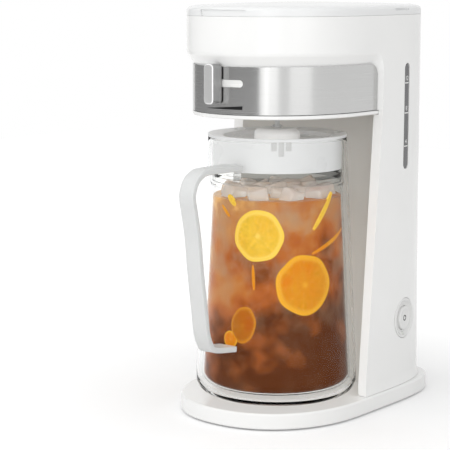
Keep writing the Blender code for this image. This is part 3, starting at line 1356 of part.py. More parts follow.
def pitcher_outer_profile():
    seat, wall = PITCHER_SEAT, PITCHER_WALL
    depth = PITCHER_FOOT_Z - seat
    levels = [PITCHER_FOOT_Z, *[between(PITCHER_TOP - SPOUT_DROP, PITCHER_TOP, share) for share in (0.0, 0.35, 0.7, 1.0)]]
    foot = [math.radians(a) for a in (90, 60, 30)]
    corner = depth * 0.62
    outside = [(PITCHER_FOOT_RADIUS - corner * (1 - math.cos(a)), seat + corner * (1 - math.sin(a))) for a in foot]
    inside = [(PITCHER_FOOT_RADIUS - wall - corner * (1 - math.cos(a)), seat + wall * 2 + corner * (1 - math.sin(a))) for a in foot]
    recess = outside[0][0] - wall
    return ([(0, seat + PITCHER_FOOT_RECESS), (recess - PITCHER_FOOT_RECESS, seat + PITCHER_FOOT_RECESS), (recess, seat)]
            + outside + [(outer_radius(z), z) for z in levels]
            + [(outer_radius(z) - wall, z) for z in levels[::-1]]
            + inside[::-1] + [(0, seat + wall * 2)])


def make_pitcher_walls():
    mesh_object("pitcher_outer_wall", spouted(pitcher_outer_profile()), CLEAR)

    wall = VESSEL_WALL
    rim_low = PITCHER_TOP + CLEARANCE
    rim_top = rim_low + VESSEL_FLANGE
    neck_z = VESSEL_SHOULDER_Z - 2 * wall
    corner = wall * 6
    bend = [math.radians(a) for a in (90, 60, 30, 0)]
    lower = [(VESSEL_FOOT_RADIUS - corner * (1 - math.cos(a)), VESSEL_FLOOR + corner * (1 - math.sin(a))) for a in bend]
    spout_levels = [between(PITCHER_TOP - SPOUT_DROP, PITCHER_TOP, share) for share in (0.0, 0.35, 0.7)]
    mouth, neck = VESSEL_MOUTH_RADIUS, VESSEL_NECK_RADIUS
    inner = [(0, VESSEL_FLOOR), *lower, (neck, neck_z), (mouth, VESSEL_SHOULDER_Z - wall / 4),
             *[(mouth, z) for z in spout_levels], (mouth, rim_top)]
    outer = [(outer_radius(PITCHER_TOP), rim_top), (outer_radius(PITCHER_TOP), rim_low), (mouth + wall, rim_low),
             *[(mouth + wall, z) for z in spout_levels[::-1]], (mouth + wall, VESSEL_SHOULDER_Z),
             (neck + wall, neck_z - wall), *[(r + wall * math.cos(a), z - wall * math.sin(a)) for (r, z), a in zip(lower[::-1], bend[::-1])],
             (0, VESSEL_FLOOR - wall)]
    mesh_object("pitcher_inner_wall", spouted(inner + outer), CLEAR)


def handle_path():
    """Outside of the strap, from the top of the pitcher's wall round to its foot."""
    height = HANDLE_TOP - HANDLE_FOOT
    points = [(share * HANDLE_REACH, HANDLE_FOOT + rise * height) for share, rise in HANDLE_SHARES]
    for end in (0, -1):
        points[end] = (outer_radius(points[end][1]) + CLEARANCE, points[end][1])
    return smooth_path([(0, -reach, z) for reach, z in points], HANDLE_SPAN_STEPS)


def make_handle():
    path = handle_path()
    inner = []
    for i, point in enumerate(path):
        along = (path[min(i + 1, len(path) - 1)] - path[max(i - 1, 0)]).normalized()
        inward = Vector((0, -along.z, along.y))
        inner.append(point + inward * HANDLE_THICKNESS)
    inner[0] = Vector((0, path[0].y, path[0].z - HANDLE_THICKNESS))
    inner[-1] = Vector((0, path[-1].y, path[-1].z + HANDLE_THICKNESS))
    bm = bmesh.new()
    sheets = []
    for x in (-HANDLE_WIDTH / 2, HANDLE_WIDTH / 2):
        sheets.append([[bm.verts.new((x, p.y, p.z)) for p in line] for line in (path, inner)])
    (far_out, far_in), (near_out, near_in) = sheets
    strips = ((far_out, near_out), (near_out, near_in), (near_in, far_in), (far_in, far_out))
    for first, second in strips:
        for a, b, c, d in zip(first, first[1:], second[1:], second):
            bm.faces.new((a, b, c, d))
    for k in (0, -1):
        bm.faces.new((far_out[k], near_out[k], near_in[k], far_in[k]))
    bmesh.ops.recalc_face_normals(bm, faces=bm.faces)
    handle = mesh_object("pitcher_handle", bm, FROSTED)
    rounded(handle, HANDLE_ROUND, 1)
    return handle


def make_pitcher_lid():
    rim_in = RIM_RADIUS - RIM_WIDTH
    skirt_in = SKIRT_RADIUS - SKIRT_WALL
    groove = SKIRT_RADIUS - SEAL_DEPTH
    lid = turned("pitcher_lid", [
        (RIM_RADIUS - RIM_WIDTH / 4, RIM_TOP), (RIM_RADIUS, RIM_TOP - RIM_WIDTH / 4), (RIM_RADIUS, RIM_BOTTOM),
        (SKIRT_RADIUS, RIM_BOTTOM), (SKIRT_RADIUS, SEAL_Z + SEAL_HEIGHT / 2), (groove, SEAL_Z + SEAL_HEIGHT / 2),
        (groove, SEAL_Z - SEAL_HEIGHT / 2), (SKIRT_RADIUS, SEAL_Z - SEAL_HEIGHT / 2), (SKIRT_RADIUS, SKIRT_BOTTOM),
        (skirt_in, SKIRT_BOTTOM), (skirt_in, DISH_TOP - DISH_THICKNESS), (CAP_NECK_RADIUS + CLEARANCE, DISH_TOP - DISH_THICKNESS),
        (CAP_NECK_RADIUS + CLEARANCE, DISH_TOP), (rim_in - RIM_WIDTH / 2, DISH_TOP), (rim_in, RIM_TOP - RIM_WIDTH / 4),
    ], WHITE)
    slots = bmesh.new()
    for i, share in enumerate(STRAINER_SHARES):
        angle = STRAINER_ANGLE + STRAINER_STEP * (i - 1)
        turn = Matrix.Rotation(angle, 4, "Z")
        box(slots, (skirt_in - OVERRUN, -STRAINER_WIDTH / 2, STRAINER_TOP - STRAINER_LENGTH * share),
            (SKIRT_RADIUS + OVERRUN, STRAINER_WIDTH / 2, STRAINER_TOP - DISH_THICKNESS - (RIM_TOP - DISH_TOP) / 2), turn)
    cut(lid, cutter_object("strainer_slots", slots))

    top, wall, shoulder = CAP_TOP, CAP_WALL, CAP_SHOULDER
    turned("drip_cap", [
        (CAP_HOLE_RADIUS, top), (CAP_RADIUS - shoulder, top), (CAP_RADIUS - shoulder * 0.3, top - shoulder * 0.3),
        (CAP_RADIUS, top - shoulder), (CAP_RADIUS, DISH_TOP + CLEARANCE), (CAP_NECK_RADIUS, DISH_TOP + CLEARANCE),
        (CAP_NECK_RADIUS, CAP_NECK_BOTTOM), (CAP_NECK_RADIUS - wall, CAP_NECK_BOTTOM), (CAP_NECK_RADIUS - wall, top - shoulder),
        (CAP_RADIUS - shoulder - wall, top - wall), (CAP_HOLE_RADIUS, top - wall),
    ], PALE)
    low, high = SEAL_Z - SEAL_HEIGHT / 2 + CLEARANCE, SEAL_Z + SEAL_HEIGHT / 2 - CLEARANCE
    turned("lid_seal", tube(SKIRT_RADIUS + CLEARANCE / 3, groove + CLEARANCE, low, high), SILICONE)


def build():
    # The box round the whole object is centred on the origin
    front = min(point.y for point in handle_path())
    ROOT.location.y = -(BASE_CENTRE_Y + BASE_REAR + front) / 2
    make_body()
    make_front_panel()
    make_head_floor()
    make_band()
    make_lid()
    make_hinge_pin()
    make_base_cover()
    make_base_plate()
    make_feet_and_screws()
    make_window()
    make_button()
    make_gland()
    make_slider_guide(*make_knob())
    make_tank()
    make_boiler()
    make_thermostat()
    make_plumbing()
    make_basket()
    make_filter()
    make_drip_valve()
    make_pitcher_walls()
    make_handle()
    make_pitcher_lid()


build()
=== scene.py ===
"""Looks of the iced tea maker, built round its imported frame.

Metres, +Z up, the front faces -Y. Fine pieces are modelled about the pitcher's axis and then moved
to where the frame has that axis.
"""

import random
from collections import namedtuple
from math import acos, asin, atan2, copysign, cos, hypot, pi, radians, remainder, sin, sqrt, tau

import bmesh
import bpy
from mathutils import Matrix, Vector, noise


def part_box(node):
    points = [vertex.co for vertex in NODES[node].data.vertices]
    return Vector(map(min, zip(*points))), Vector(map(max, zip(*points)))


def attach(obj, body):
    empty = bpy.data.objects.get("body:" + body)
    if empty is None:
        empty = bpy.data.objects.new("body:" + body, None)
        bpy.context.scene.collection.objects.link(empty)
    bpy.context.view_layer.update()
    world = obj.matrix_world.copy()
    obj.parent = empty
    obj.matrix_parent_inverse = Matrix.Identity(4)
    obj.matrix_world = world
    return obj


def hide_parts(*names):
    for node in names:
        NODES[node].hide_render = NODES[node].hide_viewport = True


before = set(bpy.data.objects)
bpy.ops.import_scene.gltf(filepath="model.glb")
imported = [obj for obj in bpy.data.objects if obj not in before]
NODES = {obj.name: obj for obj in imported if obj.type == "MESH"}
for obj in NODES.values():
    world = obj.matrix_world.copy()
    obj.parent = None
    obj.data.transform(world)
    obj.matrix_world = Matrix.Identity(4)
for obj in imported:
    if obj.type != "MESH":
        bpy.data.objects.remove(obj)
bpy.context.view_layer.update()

SCENE = bpy.context.scene

# Sizes that the frame gives
low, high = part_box("pitcher_outer_wall")
AXIS_Y = (low.y + high.y) / 2
TOTAL_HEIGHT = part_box("top_lid")[1].z
BASE_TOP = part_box("base_cover")[1].z
FLOOR_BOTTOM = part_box("head_floor")[0].z

# The same sizes as the solids
CLEARANCE = 0.0003
WALL = 0.0022
HEAD_HALF_WIDTH = 0.0825
PLAN_CENTRE_Y = 0.020
HEAD_FRONT = 0.102
FRONT_POWER = 2.15
HEAD_REAR = 0.127
REAR_POWER = 4.0
BODY_TOP = 0.3538
LID_BOTTOM = BODY_TOP + CLEARANCE
CHAMFER_TOP = 0.3217
CHAMFER_BOTTOM = 0.3120
CHAMFER_EASE = 0.0024
RIM_LINE = 0.0006
HEAD_BOTTOM = 0.2711
FLOOR_THICKNESS = 0.0034
LIP_ROUND = 0.0013
NOZZLE_HOLE_RADIUS = 0.0125
SEAT_RING_RADIUS = 0.0330
SEAT_RING_WALL = 0.0025
SEAT_RING_TOP = 0.2840
BAND_INSET = 0.0052
BAND_THICKNESS = 0.0010
BAND_END_Y = 0.0435
BAND_CORNER = 0.0100
BAND_STEP = 0.0014
SLOT_LEFT = -0.0200
SLOT_RIGHT = 0.0180
SLOT_HEIGHT = 0.0064
SLOT_CENTRE_Z = 0.2975
SLOT_MARGIN = 0.0009
TOWER_FOOT_HALF_WIDTH = 0.0812
TOWER_FOOT_REAR = 0.1330
TOWER_FOOT_Z = 0.0260
FOOT_FLARE = 0.0022
EDGE_TOP_Y = 0.0449
EDGE_FOOT_Y = 0.0243
STRIP_TOP_WIDTH = 0.0100
STRIP_FOOT_WIDTH = 0.0085
STRIP_SET = 0.0006
PANEL_DEPTH_Y = 0.0800
PANEL_THICKNESS = 0.0022
BASE_HALF_WIDTH = 0.0845
BASE_CENTRE_Y = 0.012
BASE_FRONT = 0.1005
BASE_FRONT_POWER = 2.2
BASE_REAR = 0.1475
BASE_REAR_POWER = 5.0
BASE_RIM = 0.0015
BASE_ROUND = 0.0020
BASE_WALL = 0.0024
LID_WALL = 0.0022
LID_SIDE_HEIGHT = 0.0041
LID_EDGE_HEIGHT = 0.0084
LID_EDGE_INSET = 0.0060
LID_CROWN_Y = 0.0320
RECESS_TOP = 0.3596
RECESS_DEPTH = 0.0017
RECESS_TOP_HALF = 0.0250
RECESS_BOTTOM_HALF = 0.0200
VENT_FRONT_Y = 0.0640
VENT_REAR_Y = 0.0880
VENT_HEIGHT = 0.0018
HINGE_OFFSET = 0.0042
BARREL_RADIUS = 0.0036
PIN_RADIUS = 0.0013
LID_BARREL_HALF = 0.0120
EAR_LENGTH = 0.0170
HINGE_WEB = 0.0026
WINDOW_Y = 0.0865
WINDOW_CENTRE_Z = 0.2630
WINDOW_LENGTH = 0.0950
WINDOW_WIDTH = 0.0090
WINDOW_FLANGE = 0.0022
BUTTON_Y = 0.0900
BUTTON_Z = 0.0770
BEZEL_RADIUS = 0.0185
BEZEL_DISH = 0.0026
BEZEL_TUBE_LENGTH = 0.0110
BEZEL_TUBE_WALL = 0.0016
BUTTON_RADIUS = 0.0110
BUTTON_PROUD = 0.0010
BUTTON_STEM_RADIUS = 0.0030
LIGHT_RADIUS = 0.0014
LIGHT_OFFSET = 0.0146
KNOB_WIDTH = 0.0105
KNOB_DEPTH = 0.0118
KNOB_HEIGHT = 0.0340
KNOB_BOTTOM = 0.2800
KNOB_ANGLE = radians(-4.3)
KNOB_GAP = 0.0009
KNOB_SOCKET = 0.0053
STEM_WIDTH = 0.0046
STEM_HEIGHT = 0.0038
STEM_PLAY = 0.0018
GLAND_X = 0.0360
GLAND_Z = 0.0400
GLAND_NECK_RADIUS = 0.0070
PITCHER_SEAT = BASE_TOP + CLEARANCE
PITCHER_WALL = 0.0018
PITCHER_TOP = 0.2456
PITCHER_TOP_RADIUS = 0.0619
PITCHER_FOOT_RADIUS = 0.0726
PITCHER_FOOT_Z = 0.0360
PITCHER_FOOT_RECESS = 0.0014
VESSEL_WALL = 0.0015
VESSEL_FLANGE = 0.0010
VESSEL_MOUTH_RADIUS = 0.0583
VESSEL_SHOULDER_Z = 0.2076
VESSEL_NECK_RADIUS = 0.0570
VESSEL_FOOT_RADIUS = 0.0660
VESSEL_FLOOR = 0.0252
VESSEL_CORNER = 0.0090
SPOUT_REACH = 0.0050
SPOUT_HALF_ANGLE = radians(28.0)
SPOUT_DROP = 0.0300
HANDLE_WIDTH = 0.0155
HANDLE_THICKNESS = 0.0050
HANDLE_REACH = 0.1277
HANDLE_TOP = 0.2270
HANDLE_FOOT = 0.0640
HANDLE_SHARES = ((0.70, 0.998), (0.80, 1.0), (0.885, 0.990), (0.955, 0.955), (0.996, 0.895),
                 (1.0, 0.845), (0.984, 0.790), (0.948, 0.650), (0.920, 0.460), (0.880, 0.255),
                 (0.857, 0.135), (0.822, 0.065), (0.765, 0.022), (0.66, 0.0))
RIM_RADIUS = 0.0621
RIM_TOP = 0.2499
RIM_BOTTOM = 0.2472
RIM_WIDTH = 0.0034
SKIRT_RADIUS = 0.0579
SKIRT_WALL = 0.0024
SKIRT_BOTTOM = 0.2080
SKIRT_SPLIT = 0.2196
DISH_TOP = 0.2445
DISH_THICKNESS = 0.0016
SEAL_Z = 0.2140
SEAL_HEIGHT = 0.0034
SEAL_DEPTH = 0.0009
STRAINER_ANGLE = radians(-50.0)
STRAINER_STEP = radians(6.2)
STRAINER_WIDTH = 0.0048
STRAINER_DEPTH = 0.0014
STRAINER_TOP = 0.2455
STRAINER_SHARES = (0.50, 0.88, 0.50)
STRAINER_LENGTH = 0.0125
CAP_RADIUS = 0.0205
CAP_TOP = 0.2543
CAP_NECK_RADIUS = 0.0184
CAP_NECK_BOTTOM = 0.2400
CAP_WALL = 0.0016
CAP_HOLE_RADIUS = 0.0050

# Sizes of the looks alone
KNOB_CORNER = 0.0036
KNOB_RIM = 0.0009
HANDLE_FLARE = 0.0022
HANDLE_CROWN = 0.0006
RIM_BREADTH = 0.01428
CAP_SHOULDER = 0.0056
NUMBER_SIZE = 0.00594
WINDOW_MARKS = ((0.293, "12"), (0.266, "8"), (0.236, "4"))
RING_MARK_RADII = (0.0018, 0.0027)
BUTTON_FACE = ((0, 0.0006), (0.40, 0.00052), (0.66, 0.00036), (0.74, 0.00016), (0.80, 0), (0.90, 0.00005),
               (0.97, 0.0003), (1, 0.0009))
WEDGE_ENDS = (-0.0195, 0.0185)
WEDGE_BOTTOM = 0.27550
WEDGE_TOPS = (0.27575, 0.27870)

# Fineness
FRONT_STEPS = 40
REAR_STEPS = 32
CORNER_STEPS = 12
ROUND_STEPS = 96
SMALL_STEPS = 48
PANEL_STEPS = 56
REAR_SPACING = 1.6
HOUSING_SPACING = 1.25
OVERRUN = 0.004

Plan = namedtuple("Plan", "half_width centre front front_power rear rear_power")
HEAD_PLAN = Plan(HEAD_HALF_WIDTH, PLAN_CENTRE_Y, HEAD_FRONT, FRONT_POWER, HEAD_REAR, REAR_POWER)
BASE_PLAN = Plan(BASE_HALF_WIDTH, BASE_CENTRE_Y, BASE_FRONT, BASE_FRONT_POWER, BASE_REAR, BASE_REAR_POWER)
SEAT_INSET = BAND_INSET + BAND_THICKNESS + CLEARANCE
HINGE_Y = PLAN_CENTRE_Y + HEAD_REAR + HINGE_OFFSET
HINGE_Z = BODY_TOP + CLEARANCE / 2
TO_FRAME = Matrix.Translation((0, AXIS_Y, 0))


# Materials


def shader_of(made):
    return made.node_tree.nodes["Principled BSDF"]


def feed(made, target, values):
    """Sets a node's inputs. Each value is a constant, or the output that it comes from."""
    for socket, value in dict(values).items():
        if isinstance(value, bpy.types.NodeSocket):
            made.node_tree.links.new(value, target.inputs[socket])
        else:
            target.inputs[socket].default_value = value


def node(made, kind, values=(), **settings):
    """Adds a node to a material or a world and gives its outputs."""
    added = made.node_tree.nodes.new("ShaderNode" + kind)
    for key, value in settings.items():
        setattr(added, key, value)
    feed(made, added, values)
    return added.outputs


def new_material(name, colour, roughness, metallic=0.0, **sockets):
    made = bpy.data.materials.new(name)
    made.use_nodes = True
    made.diffuse_color = (*colour, 1.0)
    values = {"Base Color": (*colour, 1.0), "Roughness": roughness, "Metallic": metallic}
    values.update((socket.replace("_", " "), value) for socket, value in sockets.items())
    feed(made, shader_of(made), values)
    return made


def object_noise(made, scale, stretch=(1, 1, 1), detail=3.0, roughness=0.5):
    """Noise in the object's own coordinates, which are the frame's metres."""
    place = node(made, "TexCoord")["Object"]
    stretched = node(made, "Mapping", {"Vector": place, "Scale": stretch})["Vector"]
    values = {"Vector": stretched, "Scale": scale, "Detail": detail, "Roughness": roughness}
    return node(made, "TexNoise", values)["Fac"]


def ramp(made, source, stops):
    """A colour ramp from (place, colour) stops."""
    added = made.node_tree.nodes.new("ShaderNodeValToRGB")
    elements = added.color_ramp.elements
    while len(elements) < len(stops):
        elements.new(0.5)
    for element, (at, colour) in zip(elements, stops):
        element.position = at
        element.color = (*colour, 1.0)
    feed(made, added, {"Fac": source})
    return added.outputs["Color"]


def spread(made, source, low_value, high_value, low_from=0.0, high_from=1.0):
    values = {"Value": source, "From Min": low_from, "From Max": high_from,
              "To Min": low_value, "To Max": high_value}
    return node(made, "MapRange", values)["Result"]


def mixed(made, amount, first, second):
    return node(made, "MixRGB", {"Fac": amount, "Color1": first, "Color2": second})["Color"]


def bump(made, source, strength, distance):
    lifted = node(made, "Bump", {"Height": source, "Strength": strength, "Distance": distance})["Normal"]
    feed(made, shader_of(made), {"Normal": lifted})


def tint(colour, factor):
    return tuple(c * factor for c in colour)


def plastic(name, colour, roughness, grain=1800.0, relief=0.05, **sockets):
    """Moulded plastic: a fine grain, and slow drifts of tone and gloss as on a large moulding."""
    made = new_material(name, colour, roughness, **sockets)
    slow = object_noise(made, 22.0, detail=4.0)
    feed(made, shader_of(made), {
        "Base Color": ramp(made, slow, ((0.30, tint(colour, 0.98)), (0.70, colour))),
        "Roughness": spread(made, slow, roughness - 0.025, roughness + 0.025, 0.3, 0.7)})
    bump(made, object_noise(made, grain, detail=2.0), relief, 0.0001)
    return made


def brushed(name, colour, roughness, stretch, scale=1.0, relief=0.05, contrast=0.08, **sockets):
    """Metal with long fine lines: the noise is stretched along them."""
    made = new_material(name, colour, roughness, 1.0, **sockets)
    lines = object_noise(made, scale, stretch, detail=6.0, roughness=0.6)
    tones = ramp(made, lines, ((0.25, tint(colour, 1 - contrast)), (0.75, tint(colour, 1 + contrast))))
    gloss = spread(made, lines, roughness - contrast, roughness + contrast, 0.3, 0.7)
    feed(made, shader_of(made), {"Base Color": tones, "Roughness": gloss})
    bump(made, lines, relief, 0.00005)
    return made


def glass(name, colour, roughness, ior=1.46, relief=0.02, scale=60.0, weight=1.0):
    made = new_material(name, colour, roughness, Transmission_Weight=weight, IOR=ior)
    waves = object_noise(made, scale, detail=2.0)
    gloss = spread(made, waves, roughness * 0.7, roughness * 1.3, 0.3, 0.7)
    feed(made, shader_of(made), {"Roughness": gloss})
    bump(made, waves, relief, 0.0004)
    return made


WHITE = plastic("white_gloss_plastic", (0.87, 0.87, 0.86), 0.20, relief=0.03)
LID_WHITE = plastic("white_lid_plastic", (0.80, 0.805, 0.805), 0.20, relief=0.03)
WARM_WHITE = plastic("white_button_plastic", (0.77, 0.77, 0.76), 0.24, relief=0.03)
PITCHER_WHITE = plastic("white_pitcher_plastic", (0.73, 0.735, 0.735), 0.28, relief=0.04)
GREY = plastic("light_grey_plastic", (0.61, 0.60, 0.57), 0.38, relief=0.10)
PALE = plastic("pale_inner_plastic", (0.66, 0.665, 0.66), 0.42, relief=0.08)
LIP = plastic("white_lip_plastic", (0.86, 0.86, 0.85), 0.26, relief=0.04)
BLACK = plastic("black_plastic", (0.03, 0.03, 0.032), 0.48, relief=0.12)
PRINT = plastic("dark_print", (0.016, 0.016, 0.017), 0.75, relief=0.02, IOR=1.20)
MARKS = plastic("pale_print", (0.80, 0.80, 0.79), 0.50, relief=0.02)
RUBBER = plastic("dark_rubber", (0.045, 0.045, 0.047), 0.82, relief=0.25, grain=2600.0)
SILICONE = plastic("milky_silicone", (0.72, 0.73, 0.71), 0.50, Transmission_Weight=0.25)
SEAL = plastic("white_soft_lips", (0.82, 0.82, 0.81), 0.55, relief=0.06)
FILTER = plastic("filter_cloth", (0.74, 0.71, 0.62), 0.75, grain=4200.0, relief=0.6)
LAMP = plastic("lamp_lens", (0.72, 0.75, 0.70), 0.15, relief=0.02)
BAND_STEEL = brushed("brushed_band_steel", (0.53, 0.53, 0.525), 0.25, (9.0, 9.0, 4200.0), contrast=0.035,
                     Anisotropic=0.70, Anisotropic_Rotation=0.25)
KNOB_STEEL = brushed("satin_knob_steel", (0.40, 0.40, 0.40), 0.30, (2600.0, 2600.0, 8.0), relief=0.04,
                     contrast=0.04)
# Painted light: the knob's front face is a lighter, less metallic copy of its steel, so that it reads as lit
KNOB_FACE_PAINTED_LIGHT = plastic("painted_light_knob_face", (0.60, 0.60, 0.595), 0.34, grain=2400.0, Metallic=0.45)
# Painted highlight: a near-white colour on the knob's rims stands for a bright edge highlight
KNOB_EDGE_PAINTED_HIGHLIGHT = plastic("painted_highlight_knob_edge", (0.93, 0.93, 0.93), 0.22, relief=0.02, Metallic=0.30)
PLAIN_STEEL = brushed("bright_steel", (0.66, 0.66, 0.66), 0.22, (60.0, 60.0, 60.0), scale=8.0)
CAST = brushed("cast_aluminium", (0.58, 0.59, 0.60), 0.45, (80.0, 80.0, 80.0), scale=9.0, relief=0.35)
SMOKE = glass("smoked_tank_plastic", (0.36, 0.36, 0.37), 0.10, weight=0.55, relief=0.01)
WINDOW_SMOKE = glass("smoked_window_plastic", (0.17, 0.17, 0.175), 0.12, weight=0.30, relief=0.01)
OUTER_WALL = glass("clear_pitcher_plastic", (0.985, 0.99, 0.99), 0.015, ior=1.08)
VESSEL = glass("clear_vessel_plastic", (0.99, 0.99, 0.985), 0.015, ior=1.07)
FROST = glass("frosted_plastic", (0.79, 0.80, 0.795), 0.40, weight=0.22, relief=0.02)
SLOT_SHADE = plastic("shaded_slot_plastic", (0.58, 0.58, 0.575), 0.50, relief=0.04)
SHADED = plastic("shaded_grey_plastic", (0.62, 0.62, 0.61), 0.45)


# Scene and shape helpers


def between(first, second, share):
    return first + (second - first) * share


def shrink(plan, inset):
    return plan._replace(half_width=plan.half_width - inset, front=plan.front - inset, rear=plan.rear - inset)


def plan_point(plan, angle):
    """The outline at an angle from the front centre, 90 degrees being +X."""
    run, across = -cos(angle), sin(angle)
    reach, power = (plan.front, plan.front_power) if run < 0 else (plan.rear, plan.rear_power)
    x = plan.half_width * copysign(abs(across) ** (2 / power), across)
    y = plan.centre + reach * copysign(abs(run) ** (2 / power), run)
    return x, y


def angle_at(plan, y):
    return pi - acos(((y - plan.centre) / plan.rear) ** (plan.rear_power / 2))


def wall_x(plan, y):
    share = abs(y - plan.centre) / (plan.rear if y > plan.centre else plan.front)
    power = plan.rear_power if y > plan.centre else plan.front_power
    return plan.half_width * (1 - share**power) ** (1 / power)


def shares(steps):
    return [i / steps for i in range(steps + 1)]


def spaced(first, last, steps):
    return [between(first, last, share) for share in shares(steps)]


def quarter(steps):
    return spaced(0, pi / 2, steps)


def plan_angles():
    """Angles round an outline, closer together at the tight corners of the rear."""
    front = quarter(FRONT_STEPS)[:-1]
    rear = [pi / 2 + pi / 2 * share**REAR_SPACING for share in shares(REAR_STEPS)]
    half = front + rear
    return half + [-a for a in half[-2:0:-1]]


ANGLES = plan_angles()


def plan_ring(plan, z):
    return [(*plan_point(plan, a), z) for a in ANGLES]


def tower_plan(z):
    share = min(1.0, max(0.0, (HEAD_BOTTOM - z) / (HEAD_BOTTOM - TOWER_FOOT_Z)))
    flare = FOOT_FLARE * min(1.0, max(0.0, (TOWER_FOOT_Z - z) / (TOWER_FOOT_Z - BASE_TOP))) ** 2
    return HEAD_PLAN._replace(
        half_width=between(HEAD_HALF_WIDTH, TOWER_FOOT_HALF_WIDTH, share) + flare / 2,
        rear=between(HEAD_REAR, TOWER_FOOT_REAR, share) + flare,
    )


def edge_y(z):
    return between(EDGE_FOOT_Y, EDGE_TOP_Y, (z - BASE_TOP) / (HEAD_BOTTOM - BASE_TOP))


def strip_edge(z):
    width = between(STRIP_FOOT_WIDTH, STRIP_TOP_WIDTH, (z - BASE_TOP) / (HEAD_BOTTOM - BASE_TOP))
    return wall_x(tower_plan(z), edge_y(z)) - width, edge_y(z) + STRIP_SET


def panel_arc(z):
    x, y = strip_edge(z)
    centre = (PANEL_DEPTH_Y**2 - x**2 - y**2) / (2 * (PANEL_DEPTH_Y - y))
    return centre, PANEL_DEPTH_Y - centre


def head_ring(inset, z):
    return plan_ring(shrink(HEAD_PLAN, inset), z)


def tower_levels():
    upper = spaced(FLOOR_BOTTOM - CLEARANCE, TOWER_FOOT_Z, 12)
    return upper + spaced(TOWER_FOOT_Z, BASE_TOP + CLEARANCE, 5)[1:]


def panel_line(z, clearance):
    """The panel's arc at a height, from left to right."""
    centre, radius = panel_arc(z)
    x, y = strip_edge(z)
    reach = atan2(x - clearance, y - centre)
    return [(radius * sin(turn), centre + radius * cos(turn)) for turn in spaced(-reach, reach, PANEL_STEPS)]


def outward_frame(place, run):
    """A frame on a wall that runs along run: local Z points out of it, local Y up."""
    across = Vector(run).normalized()
    made = Matrix((across, (0, 0, 1), across.cross(Vector((0, 0, 1))))).transposed().to_4x4()
    made.translation = place
    return made


def wall_frame(y, z):
    plan = tower_plan(z)
    run = (wall_x(plan, y + WALL) - wall_x(plan, y - WALL), 2 * WALL, 0)
    return outward_frame((wall_x(plan, y), y, z), run)


def join_rows(bm, rows):
    for first, second in zip(rows, rows[1:]):
        for a, b, c, d in zip(first, first[1:], second[1:], second):
            bm.faces.new((a, b, c, d))


def turn_out(bm, outwardness):
    """Makes the normals agree, and point the way that outwardness(face) calls positive."""
    bmesh.ops.recalc_face_normals(bm, faces=bm.faces)
    if sum(outwardness(face) for face in bm.faces) < 0:
        bmesh.ops.reverse_faces(bm, faces=bm.faces)


def from_centre(face):
    return face.normal.dot(face.calc_center_median())


def ease_edges(bm, edges, offset, segments):
    bmesh.ops.bevel(bm, geom=edges, offset=offset, segments=segments, affect="EDGES", profile=0.5)


def loft(rings):
    """Joins rings of points into one closed skin. A ring of one point is an apex."""
    bm = bmesh.new()
    rows = [[bm.verts.new(p) for p in ring] for ring in rings]
    for first, second in zip(rows, rows[1:]):
        count = max(len(first), len(second))
        for i in range(count):
            j = (i + 1) % count
            corners = [row[k % len(row)] for row, k in ((first, i), (first, j), (second, j), (second, i))]
            bm.faces.new(list(dict.fromkeys(corners)))
    for end in (rows[0], rows[-1]):
        if len(end) > 1:
            bm.faces.new(end)
    bmesh.ops.recalc_face_normals(bm, faces=bm.faces)
    return bm


def turned(profile, steps=ROUND_STEPS, matrix=Matrix(), reach=None):
    """A skin turned about Z from a profile. reach(radius, angle, z) may draw a radius out."""
    bm = bmesh.new()
    rows = []
    for k in range(steps):
        angle = tau * k / steps
        row = []
        for radius, z in profile:
            far = reach(radius, angle, z) if reach and radius else radius
            row.append(bm.verts.new((far * cos(angle), far * sin(angle), z)))
        rows.append(row)
    last = len(profile) if profile[0][0] > 0 else len(profile) - 1
    for first, second in zip(rows, rows[1:] + rows[:1]):
        for i in range(last):
            j = (i + 1) % len(profile)
            bm.faces.new((first[i], second[i], second[j], first[j]))
    bmesh.ops.remove_doubles(bm, verts=bm.verts, dist=0.000001)
    bmesh.ops.dissolve_degenerate(bm, edges=bm.edges, dist=0.0000001)
    bmesh.ops.recalc_face_normals(bm, faces=bm.faces)
    bmesh.ops.transform(bm, matrix=matrix, verts=bm.verts)
    return bm


def bend(start, corner, end, steps):
    return [start * (1 - t) ** 2 + corner * 2 * t * (1 - t) + end * t**2 for t in shares(steps)]


def eased(points, radius, steps=3, closed=True):
    """Rounds the corners of a flat profile with short curves."""
    made = []
    count = len(points)
    for i, point in enumerate(points):
        if not closed and i in (0, count - 1):
            made.append(point)
            continue
        before, corner, after = Vector(points[i - 1]), Vector(point), Vector(points[(i + 1) % count])
        reach = min(radius, (before - corner).length * 0.45, (after - corner).length * 0.45)
        start, end = (corner + (other - corner).normalized() * reach for other in (before, after))
        made += [tuple(p) for p in bend(start, corner, end, steps)]
    return made


def stadium(length, width, steps=20):
    radius, half = width / 2, (length - width) / 2
    top = [(radius * cos(turn), half + radius * sin(turn)) for turn in spaced(0, pi, steps)]
    return top + [(-x, -y) for x, y in top]


def prism(outline, low_z, high_z, matrix=Matrix(), round_off=0.0):
    """Extrudes a flat outline along the matrix's Z, its far edge eased."""
    width = max(x for x, _ in outline)
    levels = [(low_z, 1.0), (high_z, 1.0)]
    if round_off:
        levels[1:] = [(high_z - round_off * (1 - sin(t)), 1 - round_off / width * (1 - cos(t)))
                      for t in quarter(4)]
    return loft([[matrix @ Vector((x * s, y - copysign((1 - s) * width, y), z)) for x, y in outline]
                 for z, s in levels])


def box(bm, low_corner, high_corner, matrix=Matrix()):
    low_corner, high_corner = Vector(low_corner), Vector(high_corner)
    size = Matrix.Diagonal((*(high_corner - low_corner), 1.0))
    place = Matrix.Translation((low_corner + high_corner) / 2)
    return bmesh.ops.create_cube(bm, size=1.0, matrix=matrix @ place @ size)["verts"]


